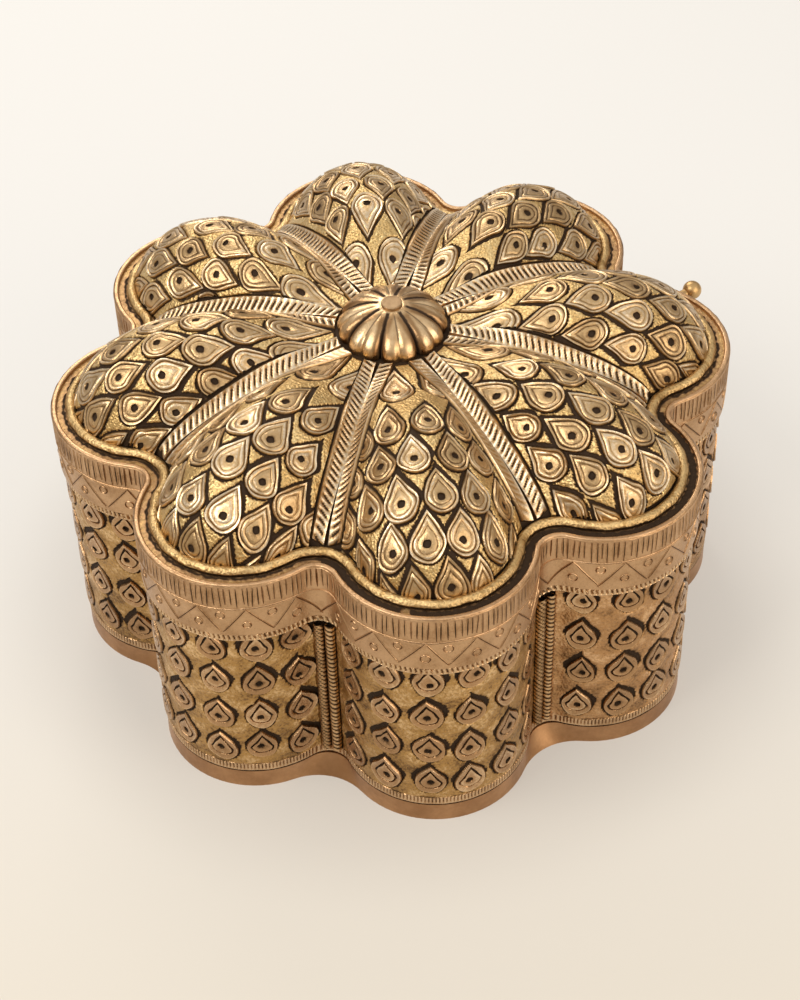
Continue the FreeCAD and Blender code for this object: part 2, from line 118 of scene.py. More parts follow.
class FlowerColours(bpy.types.PropertyGroup):
    gold: bpy.props.FloatVectorProperty(
        name="Gold", description="Brass of the petals", subtype="COLOR", size=3, default=(0.60, 0.40, 0.165))
    copper: bpy.props.FloatVectorProperty(
        name="Copper", description="Redder brass of the skirt and walls", subtype="COLOR", size=3,
        default=(0.47, 0.28, 0.14))
    bright: bpy.props.FloatVectorProperty(
        name="Bright", description="Worn brass of ridges and knob", subtype="COLOR", size=3,
        default=(0.75, 0.63, 0.465))
    patina: bpy.props.FloatVectorProperty(
        name="Patina", description="Black left in the recesses", subtype="COLOR", size=3,
        default=(0.036, 0.020, 0.010))


# Plan of the flower


class Plan:
    """Outlines of the flower and the height of its dome, with the petal's axis along +X."""

    def __init__(self, sizes):
        self.lobe = sizes.lobe_radius
        self.fillet = sizes.valley_fillet
        self.circle = sizes.tip_radius - self.lobe
        self.floor = sizes.flange_top
        self.rise = sizes.dome_rise
        self.bulge = sizes.petal_bulge
        self.dome_offset = -sizes.dome_inset
        self.wall_offset = -sizes.wall_inset
        across = self.circle * math.sin(HALF)
        along = self.circle * math.cos(HALF)
        self.distance = along + math.sqrt((self.lobe + self.fillet) ** 2 - across ** 2)
        self.turn = math.atan2(across, self.distance - along)
        self.lobe_half = self.lobe * (HALF + self.turn)
        self.half_length = self.lobe_half + self.fillet * self.turn

    def around(self, t, offset):
        """Point and outward normal at arc length t from the lobe's axis, measured on the skirt."""
        t = np.asarray(t, float)
        side = np.where(t < 0, -1.0, 1.0)
        reach = np.abs(t)
        on_lobe = reach <= self.lobe_half
        angle = np.where(on_lobe, reach / self.lobe, HALF + self.turn - (reach - self.lobe_half) / self.fillet)
        nx, ny = np.cos(angle), np.sin(angle)
        x = np.where(on_lobe, self.circle + (self.lobe + offset) * nx,
                     self.distance * math.cos(HALF) - (self.fillet - offset) * nx)
        y = np.where(on_lobe, (self.lobe + offset) * ny,
                     self.distance * math.sin(HALF) - (self.fillet - offset) * ny)
        return x, side * y, nx, side * ny

    def outline(self, angle, offset):
        """Radius of the outline in a direction measured from the petal's axis."""
        lobe = self.lobe + offset
        fillet = self.fillet - offset
        angle = np.minimum(np.abs(angle), HALF)
        valley = HALF - angle
        across = self.circle * math.sin(HALF) * fillet / (lobe + fillet)
        along = self.distance - (self.distance - self.circle * math.cos(HALF)) * fillet / (lobe + fillet)
        in_fillet = fillet ** 2 - (self.distance * np.sin(valley)) ** 2
        in_lobe = lobe ** 2 - (self.circle * np.sin(angle)) ** 2
        near_valley = self.distance * np.cos(valley) - np.sqrt(np.maximum(in_fillet, 0))
        near_crest = self.circle * np.cos(angle) + np.sqrt(np.maximum(in_lobe, 0))
        return np.where(valley < math.atan2(across, along), near_valley, near_crest)

    def height(self, x, y):
        """Height of the dome over a point of the plan."""
        hole = 1.55 * MM
        radius = np.hypot(x, y)
        angle = np.abs(np.arctan2(y, x))
        share = np.minimum(angle / HALF, 1.0)
        reach = self.outline(angle, self.dome_offset)
        out = np.clip((radius - hole) / (reach - hole), 0, 1)
        valley_reach = float(self.outline(np.array(HALF), self.dome_offset))
        crest_reach = float(self.outline(np.array(0.0), self.dome_offset))
        valley_radius = hole + out * (valley_reach - hole)
        crest_radius = hole + out * (crest_reach - hole)
        swell = np.clip((crest_radius - 12 * MM) / (33 * MM), 0, 1)
        swell = swell ** 3 * (swell * (6 * swell - 15) + 10)
        valley = self.rise * np.maximum(1 - (valley_radius / valley_reach) ** 2.2, 0) ** 0.6
        crest = (self.rise + self.bulge * swell) * np.maximum(1 - (crest_radius / crest_reach) ** 4.7, 0) ** 0.6
        blend = np.maximum(np.cos(math.pi / 2 * share), 0) ** 1.1
        return self.floor + valley + (crest - valley) * blend

    def slopes(self, x, y):
        step = 0.1 * MM
        dx = (self.height(x + step, y) - self.height(x - step, y)) / (2 * step)
        dy = (self.height(x, y + step) - self.height(x, y - step)) / (2 * step)
        return np.clip(dx, -2.5, 2.5), np.clip(dy, -2.5, 2.5)

    def on_dome(self, x, y, raised):
        """Points of the dome over (x, y), moved out along its normal."""
        dx, dy = self.slopes(x, y)
        size = np.sqrt(dx * dx + dy * dy + 1)
        z = self.height(x, y)
        return np.stack([x - dx / size * raised, y - dy / size * raised, z + raised / size], -1)


class PetalMap:
    """Lengths over a petal: s along its crest from the axis, and w sideways from the crest."""

    bow = 15.5

    def __init__(self, plan):
        self.plan = plan
        self.end = float(plan.outline(np.array(0.0), plan.dome_offset))
        x = self.end * np.sin(np.linspace(0, math.pi / 2, 900))
        z = plan.height(x, 0 * x)
        s = np.concatenate([[0], np.cumsum(np.hypot(np.diff(x), np.diff(z)))])
        self.crest_x = np.append(x, x[-1] + 6 * MM)
        self.crest_s = np.append(s, s[-1] + 6 * MM)
        self.length = s[-1]
        self.row_x = self.crest_x[::5]
        self.side = np.linspace(0, 30 * MM, 301)
        x0, y = np.meshgrid(self.row_x, self.side, indexing="ij")
        x = x0 - self.bow * y ** 2
        z = plan.height(x, y)
        steps = np.sqrt(np.diff(x, axis=1) ** 2 + np.diff(y, axis=1) ** 2 + np.diff(z, axis=1) ** 2)
        self.ways = np.concatenate([np.zeros((len(self.row_x), 1)), np.cumsum(steps, axis=1)], axis=1)
        self.places = np.array([np.interp(self.side, way, self.side) for way in self.ways])

    def look_up(self, table, x0, across):
        """A value of a table over crest place and sideways distance, between its samples."""
        i = np.interp(x0, self.row_x, np.arange(len(self.row_x)))
        j = np.clip(across / (self.side[1] - self.side[0]), 0, len(self.side) - 1.001)
        i0 = np.minimum(i.astype(int), len(self.row_x) - 2)
        j0 = j.astype(int)
        i, j = i - i0, j - j0
        low = table[i0, j0] * (1 - j) + table[i0, j0 + 1] * j
        high = table[i0 + 1, j0] * (1 - j) + table[i0 + 1, j0 + 1] * j
        return low * (1 - i) + high * i

    def to_plan(self, s, w):
        s, w = np.atleast_1d(s), np.atleast_1d(w)
        x0 = np.interp(s, self.crest_s, self.crest_x)
        y = self.look_up(self.places, x0, np.abs(w))
        return x0 - self.bow * y ** 2, np.sign(w) * y

    def from_plan(self, x, y):
        x0 = x + self.bow * y ** 2
        s = np.interp(x0, self.crest_x, self.crest_s)
        return s, np.sign(y) * self.look_up(self.ways, x0, np.abs(y))

    def place(self, s, w, raised):
        x, y = self.to_plan(s, w)
        return self.plan.on_dome(x, y, raised)


def smooth(low, high, value):
    share = np.clip((value - low) / (high - low), 0, 1)
    return share * share * (3 - 2 * share)


def waver(x, y, size, phase=0.0):
    """A smooth, seeded unevenness from -1 to 1, for the marks of the hand."""
    a, b = x / size, y / size
    return (np.sin(2.1 * a + 1.3 * b + phase) + np.sin(-1.7 * a + 2.3 * b + 2.1 * phase + 1)
            + np.sin(3.1 * a - 0.9 * b + 0.7 * phase + 2)) / 3


# Making and finishing meshes


def clear_selection():
    for chosen in list(bpy.context.selected_objects):
        chosen.select_set(False)


def choose(*objs):
    clear_selection()
    for obj in objs:
        obj.select_set(True)
    bpy.context.view_layer.objects.active = objs[0]


def read_points(obj):
    flat = np.empty(len(obj.data.vertices) * 3)
    obj.data.vertices.foreach_get("co", flat)
    return flat.reshape(-1, 3)


def write_points(obj, points):
    obj.data.vertices.foreach_set("co", np.asarray(points, float).ravel())
    obj.data.update()


def write_patina(obj, values):
    layer = obj.data.attributes.get("patina") or obj.data.attributes.new("patina", "FLOAT", "POINT")
    layer.data.foreach_set("value", np.clip(np.broadcast_to(values, len(obj.data.vertices)), 0, 1).astype(np.float32))


def turned(points, angle):
    c, s = math.cos(angle), math.sin(angle)
    turn = np.array([[c, -s, 0], [s, c, 0], [0, 0, 1]])
    return points @ turn.T


def grid_piece(name, columns, rows, place):
    """A grid primitive whose vertices are put in place by a function of two shares from 0 to 1."""
    clear_selection()
    bpy.ops.mesh.primitive_grid_add(x_subdivisions=columns, y_subdivisions=rows, size=2)
    obj = bpy.context.object
    obj.name = name
    obj.data.name = name
    flat = read_points(obj)
    points, patina = place((flat[:, 0] + 1) / 2, (flat[:, 1] + 1) / 2)
    write_points(obj, points)
    write_patina(obj, patina)
    return obj


def joined(name, objs):
    choose(*objs)
    if len(objs) > 1:
        bpy.ops.object.join()
    obj = bpy.context.object
    obj.name = name
    obj.data.name = name
    return obj


def close_seams(obj, distance=0.003 * MM):
    choose(obj)
    bpy.ops.object.mode_set(mode="EDIT")
    bpy.ops.mesh.select_all(action="SELECT")
    bpy.ops.mesh.remove_doubles(threshold=distance)
    bpy.ops.mesh.dissolve_degenerate(threshold=1e-7)
    bpy.ops.object.mode_set(mode="OBJECT")


def face_out(obj, outward):
    """Turns the faces round if most of them look inwards. outward gives a direction at points."""
    count = len(obj.data.polygons)
    normals, centres = np.empty(count * 3), np.empty(count * 3)
    obj.data.polygons.foreach_get("normal", normals)
    obj.data.polygons.foreach_get("center", centres)
    centres = centres.reshape(-1, 3)
    if np.sum(normals.reshape(-1, 3) * outward(centres)) < 0:
        choose(obj)
        bpy.ops.object.mode_set(mode="EDIT")
        bpy.ops.mesh.select_all(action="SELECT")
        bpy.ops.mesh.flip_normals()
        bpy.ops.object.mode_set(mode="OBJECT")


def face_centres(obj):
    centres = np.empty(len(obj.data.polygons) * 3)
    obj.data.polygons.foreach_get("center", centres)
    return centres.reshape(-1, 3)


def drop_faces(obj, unwanted):
    """Deletes the faces that are marked True."""
    mesh = obj.data
    mesh.vertices.foreach_set("select", np.zeros(len(mesh.vertices), bool))
    mesh.edges.foreach_set("select", np.zeros(len(mesh.edges), bool))
    mesh.polygons.foreach_set("select", np.asarray(unwanted, bool))
    choose(obj)
    bpy.context.tool_settings.mesh_select_mode = (False, False, True)
    bpy.ops.object.mode_set(mode="EDIT")
    bpy.ops.mesh.delete(type="FACE")
    bpy.ops.object.mode_set(mode="OBJECT")
    bpy.context.tool_settings.mesh_select_mode = (True, False, False)


def upwards(points):
    return np.tile([0.0, 0.0, 1.0], (len(points), 1))


def away(points):
    flat = points * np.array([1, 1, 0])
    return flat / np.maximum(np.linalg.norm(flat, axis=1, keepdims=True), 1e-9)


def finish_piece(obj, body, material, angle=40.0, nodes=()):
    choose(obj)
    bpy.ops.object.shade_smooth_by_angle(angle=math.radians(angle))
    obj.data.materials.clear()
    obj.data.materials.append(material)
    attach(obj, body)
    if nodes:
        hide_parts(*nodes)
    return obj


# Scales


def ring_master(name, rings, count):
    """Rings of a small boss, each a circle extruded from the last, closed at the middle."""
    clear_selection()
    bpy.ops.mesh.primitive_circle_add(vertices=count, radius=1.0, fill_type="NOTHING")
    obj = bpy.context.object
    obj.name = name
    bpy.ops.object.mode_set(mode="EDIT")
    bpy.ops.mesh.select_all(action="SELECT")
    size = 1.0
    for number in range(1, len(rings)):
        reach = 1 - number / len(rings)
        bpy.ops.mesh.extrude_region_move()
        bpy.ops.transform.resize(value=(reach / size, reach / size, 1))
        size = reach
    bpy.ops.mesh.extrude_region_move()
    bpy.ops.mesh.merge(type="CENTER")
    bpy.ops.object.mode_set(mode="OBJECT")
    return obj


# Each ring of a scale: reach from its middle, height in mm, patina, how much it keeps the point,
# and whether it has the fan shape of the walls' inner line
PETAL_RINGS = (
    (1.00, -0.10, 1.00, 1.0, 0), (0.97, 0.50, 0.38, 1.0, 0), (0.91, 0.84, 0.0, 1.0, 0), (0.835, 0.76, 0.08, 1.0, 0),
    (0.775, 0.48, 0.62, 1.0, 0), (0.71, 0.66, 0.14, 1.0, 0), (0.645, 0.78, 0.0, 1.0, 0), (0.56, 0.62, 0.20, 1.0, 0),
    (0.505, 0.50, 0.46, 1.0, 0), (0.44, 0.62, 0.12, 0.9, 0), (0.33, 0.62, 0.14, 0.6, 0),
    (0.225, 0.60, 0.34, 0.0, 0), (0.175, 0.15, 1.0, 0.0, 0))
WALL_RINGS = (
    (1.00, -0.10, 1.00, 1.0, 0), (0.965, 0.60, 0.38, 1.0, 0), (0.91, 0.92, 0.0, 1.0, 0), (0.84, 0.84, 0.14, 1.0, 0),
    (1.00, 0.80, 0.18, 0.0, 1), (0.93, 0.42, 0.92, 0.0, 1), (0.85, 0.42, 0.92, 0.0, 1), (0.79, 0.86, 0.04, 0.0, 1),
    (0.55, 0.80, 0.16, 0.0, 1), (0.22, 0.78, 0.34, 0.0, 0), (0.175, 0.2, 1.0, 0.0, 0))


class Scale:
    """One scale: where it lies on its petal or wall, and the marks of the hand on it."""

    def __init__(self, x, y, turn, radius, point, dice, stretch=1.0):
        self.x, self.y = x, y
        self.stretch = stretch
        self.turn = turn + dice.gauss(0, 0.06)
        self.radius = radius * dice.uniform(0.94, 1.05)
        self.point = point * dice.uniform(0.95, 1.06)
        heavy, light = dice.uniform(0.85, 1.35), dice.uniform(0.25, 0.75)
        self.flank = (heavy, light) if dice.random() < 0.5 else (light, heavy)
        self.foot = dice.uniform(0.1, 0.9)
        self.swell = dice.uniform(0.85, 1.1)
        self.phases = [dice.uniform(0, 2 * math.pi) for _ in range(4)]
        self.dot = dice.gauss(0, 0.08), dice.gauss(0, 0.08)
        self.soil = dice.uniform(-0.05, 0.12)

    def to_surface(self, u, v):
        """From the scale's own length and width to the surface's two lengths."""
        c, s = math.cos(self.turn), math.sin(self.turn)
        u = u * self.stretch
        return self.x + c * u - s * v, self.y + s * u + c * v

    def from_surface(self, x, y):
        c, s = math.cos(self.turn), math.sin(self.turn)
        u = (c * (x - self.x) + s * (y - self.y)) / self.stretch
        return u, -s * (x - self.x) + c * (y - self.y)

    def reach(self, angle):
        """Distance of the outline from the middle in a direction, 0 towards the round end."""
        angle = np.abs(np.angle(np.exp(1j * angle)))
        tangent = math.pi - math.acos(1 / self.point)
        line = 1 / np.maximum(np.cos(np.maximum(angle - tangent, 0)), 0.05)
        return self.radius * np.where(angle > tangent, line, 1.0)

    def fan(self, angle):
        """Distance of the fan-shaped inner line: straight flanks above, a flat bow below."""
        along, across = np.cos(angle), np.abs(np.sin(angle))
        bow = 1 / np.sqrt((along / 0.56) ** 2 + (across / 0.74) ** 2)
        flanks = 1 / (np.abs(along) / 1.08 + across / 0.74)
        return self.radius * np.where(along > 0, bow, flanks)

    def wobble(self, angle, ring=0.0):
        a, b, c, d = self.phases
        waves = 0.030 * np.sin(2 * angle + a) + 0.024 * np.sin(3 * angle + b) + 0.016 * np.sin(5 * angle + c)
        return 1 + waves + 0.014 * ring ** 0.5 * np.sin(4 * angle + d + 0.6 * ring)

    def gap(self, x, y):
        """Distance outside the outline, and the width of the black stroke there."""
        u, v = self.from_surface(x, y)
        angle = np.arctan2(v, u)
        span = np.hypot(u, v)
        tangent = math.pi - math.acos(1 / self.point)
        size = self.radius * self.wobble(angle)
        far = np.abs(angle) > tangent
        round_gap = span - size
        flank_gap = u * math.cos(tangent) + np.abs(v) * math.sin(tangent) - size
        distance = np.where(far, flank_gap, round_gap)
        width = np.where(v > 0, self.flank[0], self.flank[1])
        foot = self.foot * smooth(1.0, 0.35, np.abs(angle + 0.3 * math.sin(self.phases[3])))
        share = smooth(1.35, 1.9, np.abs(angle))
        return distance, width * share + (0.22 + 0.5 * foot) * (1 - share)


def scale_copy(master, scale, rings, count, place):
    """A copy of the master, shaped for one scale and laid on its surface."""
    obj = master.copy()
    obj.data = master.data.copy()
    bpy.context.collection.objects.link(obj)
    flat = read_points(obj)
    ring = np.minimum(np.arange(len(flat)) // count, len(rings) - 1)
    middle = np.arange(len(flat)) >= count * len(rings)
    angle = np.arctan2(flat[:, 1], flat[:, 0])
    reach, height, patina, keep, fan = (np.array(column)[ring] for column in zip(*rings))
    height = height * MM
    drop = scale.radius * (scale.reach(angle) / scale.radius) ** keep
    radius = np.where(fan > 0, scale.fan(angle), drop) * reach * scale.wobble(angle, ring)
    radius = np.where(middle, 0, radius)
    bow = (fan > 0) & (patina > 0.9) & (np.cos(angle) > 0.1)
    patina = np.where(bow, 0.6, patina)
    u, v = radius * np.cos(angle), radius * np.sin(angle)
    near = (radius < 0.3 * scale.radius).astype(float)
    u = u + near * scale.dot[0] * scale.radius
    v = v + near * scale.dot[1] * scale.radius
    raised = np.where(height > 0, height * scale.swell + 0.03 * u, height)
    raised = raised - 0.25 * MM * smooth(1.2, 1.9, -u / scale.radius) * (height > 0)
    x, y = scale.to_surface(u, v)
    write_points(obj, place(x, y, raised))
    write_patina(obj, patina + scale.soil)
    return obj


def strokes(scales, x, y, width):
    """How deep the black strokes are at points of the ground, from 0 to 1."""
    depth = np.zeros(len(x))
    for scale in scales:
        near = np.hypot(x - scale.x, y - scale.y) < 3.2 * scale.radius
        if not near.any():
            continue
        distance, share = scale.gap(x[near], y[near])
        distance = distance + 0.1 * MM * waver(x[near], y[near], 0.8 * MM, scale.phases[0])
        cut = smooth(1.12, 0.72, distance / (width * share))
        depth[near] = np.maximum(depth[near], cut)
    return depth


# Shader maths


class Value:
    """A socket of a shader, or a number, with the usual operators."""

    def __init__(self, nodes, socket):
        self.nodes, self.socket = nodes, socket

    def _math(self, operation, *others):
        node = self.nodes.make("ShaderNodeMath", {"operation": operation}, {})
        for slot, item in zip(node.inputs, (self, *others)):
            self.nodes.plug(slot, item)
        return Value(self.nodes, node.outputs[0])

    def __add__(self, other):
        return self._math("ADD", other)

    def __mul__(self, other):
        return self._math("MULTIPLY", other)

    def __sub__(self, other):
        return self._math("SUBTRACT", other)

    def __truediv__(self, other):
        return self._math("DIVIDE", other)

    def __rsub__(self, other):
        return Value(self.nodes, other)._math("SUBTRACT", self)

    def __rtruediv__(self, other):
        return Value(self.nodes, other)._math("DIVIDE", self)

    __radd__ = __add__
    __rmul__ = __mul__

    def power(self, other):
        return self._math("POWER", other)

    def absolute(self):
        return self._math("ABSOLUTE")

    def larger(self, other):
        return self._math("MAXIMUM", other)

    def smaller(self, other):
        return self._math("MINIMUM", other)

    def step(self, low, high):
        """0 below low and 1 above high, smoothly."""
        node = self.nodes.make("ShaderNodeMapRange", {"interpolation_type": "SMOOTHSTEP"},
                               {"Value": self, "From Min": low, "From Max": high, "To Min": 0.0, "To Max": 1.0})
        return Value(self.nodes, node.outputs["Result"])


class Finish:
    """A material's nodes, made one by one."""

    def __init__(self, name):
        self.material = bpy.data.materials.new(name)
        self.material.use_nodes = True
        self.tree = self.material.node_tree
        self.tree.nodes.clear()
        self.coordinates = self.make("ShaderNodeTexCoord", {}, {})

    def make(self, kind, settings, sockets):
        node = self.tree.nodes.new(kind)
        for key, value in settings.items():
            setattr(node, key, value)
        for key, value in sockets.items():
            self.plug(node.inputs[key], value)
        return node

    def plug(self, slot, item):
        if isinstance(item, Value):
            item = item.socket
        if isinstance(item, bpy.types.NodeSocket):
            self.tree.links.new(item, slot)
        else:
            slot.default_value = item

    def object_point(self):
        return self.coordinates.outputs["Object"]

    def noise(self, size, detail=3.0, rough=0.5, distortion=0.0):
        node = self.make("ShaderNodeTexNoise", {}, {
            "Vector": self.object_point(), "Scale": 1 / size, "Detail": detail, "Roughness": rough,
            "Distortion": distortion})
        return Value(self, node.outputs["Fac"])

    def cells(self, size):
        node = self.make("ShaderNodeTexVoronoi", {"feature": "F1"}, {
            "Vector": self.object_point(), "Scale": 1 / size})
        return Value(self, node.outputs["Distance"])

    def attribute(self, name):
        node = self.make("ShaderNodeAttribute", {"attribute_name": name}, {})
        return Value(self, node.outputs["Fac"])

    def mix(self, share, first, second):
        node = self.make("ShaderNodeMix", {"data_type": "RGBA"}, {})
        self.plug(node.inputs["Factor"], share)
        self.plug(node.inputs[6], first)
        self.plug(node.inputs[7], second)
        return node.outputs[2]

    def bump(self, height, distance, strength=1.0):
        node = self.make("ShaderNodeBump", {}, {"Height": height, "Distance": distance, "Strength": strength})
        return node.outputs["Normal"]

    def metal(self, colour, metallic, rough, normal):
        shader = self.make("ShaderNodeBsdfPrincipled", {}, {
            "Base Color": colour, "Metallic": metallic, "Roughness": rough, "Normal": normal,
            "Specular IOR Level": 0.2})
        out = self.make("ShaderNodeOutputMaterial", {}, {})
        self.tree.links.new(shader.outputs[0], out.inputs["Surface"])
        return self.material


def rgba(colour, share=1.0):
    return (colour[0] * share, colour[1] * share, colour[2] * share, 1.0)


def brass(name, pale, colour, deep, patina, rough=0.34, stipple=0.0, wear=1.0, grit=1.0):
    """Brass with patina by attribute: pale on worn ridges, then its colour, then deep brown, then black."""
    nodes = Finish(name)
    broad = nodes.noise(8 * MM, 4.0, 0.6)
    fine = nodes.noise(0.8 * MM, 4.0, 0.7)
    grain = nodes.noise(0.3 * MM, 2.0, 0.6)
    punched = nodes.cells(0.62 * MM)
    black = nodes.attribute("patina") + (fine - 0.5) * (0.34 * grit) + (broad - 0.5) * (0.26 * wear)
    shade = nodes.mix(black.step(-0.04, 0.20), rgba(pale), rgba(colour))
    dull = (broad * 1.2 + grain * 0.5 - 0.35).step(0.25, 0.85) * 0.45
    shade = nodes.mix(dull, shade, rgba(colour, 0.62))
    pits = (1 - punched * 1.6 + (fine - 0.5)).step(0.45, 0.95) * (0.5 * stipple)
    shade = nodes.mix(pits, shade, rgba(deep, 0.8))
    shade = nodes.mix(black.step(0.24, 0.50) * 0.85, shade, rgba(deep))
    dirt = black.step(0.46, 0.70)
    shade = nodes.mix(dirt, shade, rgba(patina))
    metallic = 1 - dirt * 0.75
    roughness = dirt * 0.35 + fine * 0.26 + pits * 0.25 + (rough - 0.13)
    relief = punched * (stipple * 1.5) + grain * 0.5 + fine * 0.9
    return nodes.metal(shade, metallic, roughness, nodes.bump(relief, 0.10 * MM))


def plain_brass(name, colour, dark, rough=0.38):
    nodes = Finish(name)
    broad = nodes.noise(12 * MM, 4.0, 0.6)
    fine = nodes.noise(1.2 * MM, 4.0, 0.65)
    shade = nodes.mix((broad * 1.4 - 0.2 + fine * 0.3).step(0.2, 0.95), rgba(colour, 1.1), rgba(dark))
    roughness = fine * 0.2 + broad * 0.1 + (rough - 0.15)
    return nodes.metal(shade, 1.0, roughness, nodes.bump(fine, 0.06 * MM))


def two_sided_brass(name, colour, dark, patina, upward):
    """Black outside, where only the bottoms of the strokes show, and plain brass inside."""
    nodes = Finish(name)
    normal = nodes.coordinates.outputs["Normal"]
    if upward:
        direction = (0.0, 0.0, 1.0)
    else:
        flat = nodes.make("ShaderNodeVectorMath", {"operation": "MULTIPLY"}, {0: nodes.object_point(), 1: (1, 1, 0)})
        direction = flat.outputs[0]
    dot = nodes.make("ShaderNodeVectorMath", {"operation": "DOT_PRODUCT"}, {0: normal, 1: direction})
    outside = Value(nodes, dot.outputs["Value"]).step(-0.0001, 0.0001)
    broad = nodes.noise(10 * MM, 4.0, 0.6)
    fine = nodes.noise(1.0 * MM, 4.0, 0.65)
    shade = nodes.mix((broad * 1.3 + fine * 0.3 - 0.2).step(0.2, 0.95), rgba(colour, 0.9), rgba(dark, 0.8))
    black = nodes.mix((fine * 1.2 - 0.1).step(0.55, 0.9), rgba(patina), rgba(dark, 0.4))
    shade = nodes.mix(outside, shade, black)
    return nodes.metal(shade, 1 - outside * 0.7, outside * 0.3 + fine * 0.2 + 0.32, nodes.bump(fine, 0.1 * MM))


def knob_brass(name, colour, dark, deep, patina):
    """The knob's brass, black in the grooves between its lobes, with painted shade in umber beside each groove."""
    nodes = Finish(name)
    parts = nodes.make("ShaderNodeSeparateXYZ", {}, {0: nodes.object_point()})
    x, y = Value(nodes, parts.outputs[0]), Value(nodes, parts.outputs[1])
    angle = y._math("ARCTAN2", x)
    fold = (angle / (2 * HALF))._math("FRACT")
    fold = (fold - 0.5).absolute() * (-1) + 0.5
    radius = (x * x + y * y).power(0.5)
    from_groove = fold * (2 * HALF) * radius
    from_middle = (0.5 - fold) * (2 * HALF) * radius
    fine = nodes.noise(1.0 * MM, 4.0, 0.6)
    broad = nodes.noise(5 * MM, 3.0, 0.6)
    unevenness = (fine - 0.5) * (0.5 * MM)
    groove = 1 - (from_groove + unevenness).step(0.25 * MM, 0.62 * MM)
    groove = groove * radius.step(2.6 * MM, 3.4 * MM)
    thin = 1 - (from_middle + unevenness * 0.5).step(0.08 * MM, 0.3 * MM)
    thin = thin * radius.step(3.2 * MM, 4.2 * MM) * (1 - radius.step(9.2 * MM, 10.2 * MM))
    dirt = groove.larger(thin * 0.75)
    shade = nodes.mix((broad * 1.2 + fine * 0.4 - 0.3).step(0.2, 0.9), rgba(colour, 1.15), rgba(dark, 1.2))
    # Painted shade: the brass turns umber within about 2 mm of each groove, from some 3 to 5 mm out from the middle
    # onwards.
    ridge = (from_groove + unevenness).step(1.1 * MM, 2.0 * MM)
    shade = nodes.mix((1 - ridge) * radius.step(3.0 * MM, 5.0 * MM) * 0.8, shade, rgba(deep, 1.6))
    shade = nodes.mix(dirt, shade, rgba(patina))
    return nodes.metal(shade, 1 - dirt * 0.85, fine * 0.2 + dirt * 0.4 + 0.2, nodes.bump(fine + broad, 0.08 * MM))


class Finishes:
    """The materials, made once and shared by the operators."""

    kept = {}

    @classmethod
    def get(cls, name):
        if not cls.kept:
            tint = bpy.context.scene.flower_colours
            gold, copper, bright, black = tint.gold, tint.copper, tint.bright, tint.patina
            umber = (0.16, 0.085, 0.035)
            pale_copper = (0.68, 0.47, 0.29)
            cls.kept = {
                "ground": brass("gold_ground", (0.76, 0.585, 0.30), gold, umber, black, 0.40, 1.2, 1.6, 1.6),
                "petal": brass("gold_chased", bright, (0.57, 0.385, 0.195), umber, black, 0.32, 0.0, 1.3, 1.4),
                "wall": brass("copper_ground", (0.78, 0.54, 0.28), (0.50, 0.295, 0.105), umber, black, 0.38, 0.9, 1.5, 2.6),
                "wall_scale": brass("copper_chased", (0.74, 0.52, 0.31), copper, umber, black, 0.28, 0.0, 1.3, 1.3),
                "wire": brass("milled_wire", bright, (0.60, 0.39, 0.19), umber, black, 0.32),
                "wall_wire": brass("copper_wire", (0.70, 0.48, 0.27), (0.48, 0.285, 0.125), umber, black, 0.32),
                # Painted warm light: a redder, lighter copy of the copper ground for the two walls on the right, where
                # the warm fill lamp falls.
                "warm_lit_wall": brass("red_ground_warm_lit", (0.78, 0.51, 0.28), (0.54, 0.305, 0.135), umber, black, 0.38, 0.9, 1.8, 2.0),
                "roll": brass("border_roll", (0.68, 0.48, 0.23), (0.50, 0.32, 0.13), umber, black, 0.44, 1.0, 2.4),
                "groove": brass("groove_fill", gold, copper, umber, black, 0.5, 0.6, 1.6),
                "skirt": brass("engraved_skirt", (0.60, 0.385, 0.215), (0.40, 0.22, 0.10), umber, black, 0.38, 0.3, 1.5),
                "plain": plain_brass("plain_brass", (0.62, 0.42, 0.20), (0.42, 0.26, 0.11)),
                "dome": two_sided_brass("dome_under", gold, (0.42, 0.26, 0.11), black, True),
                "shell": two_sided_brass("wall_under", copper, (0.38, 0.21, 0.09), black, False),
                "foot": plain_brass("foot_brass", (0.52, 0.30, 0.15), (0.35, 0.185, 0.085), 0.42),
                "knob": knob_brass("knob_brass", (0.64, 0.47, 0.28), (0.40, 0.25, 0.12), umber, black),
                "rivet": plain_brass("rivet_brass", (0.40, 0.28, 0.16), (0.27, 0.17, 0.09), 0.52),
            }
        return cls.kept[name]


def repaint(node, finish):
    """Gives a solid of the frame its better material."""
    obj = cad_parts[node]
    material = Finishes.get(finish)
    if not obj.data.materials:
        obj.data.materials.append(material)
    for slot in range(len(obj.data.materials)):
        obj.data.materials[slot] = material


def the_plan():
    return Plan(bpy.context.scene.flower_sizes)


def axis_of(k):
    return HALF + 2 * HALF * k


# Operators


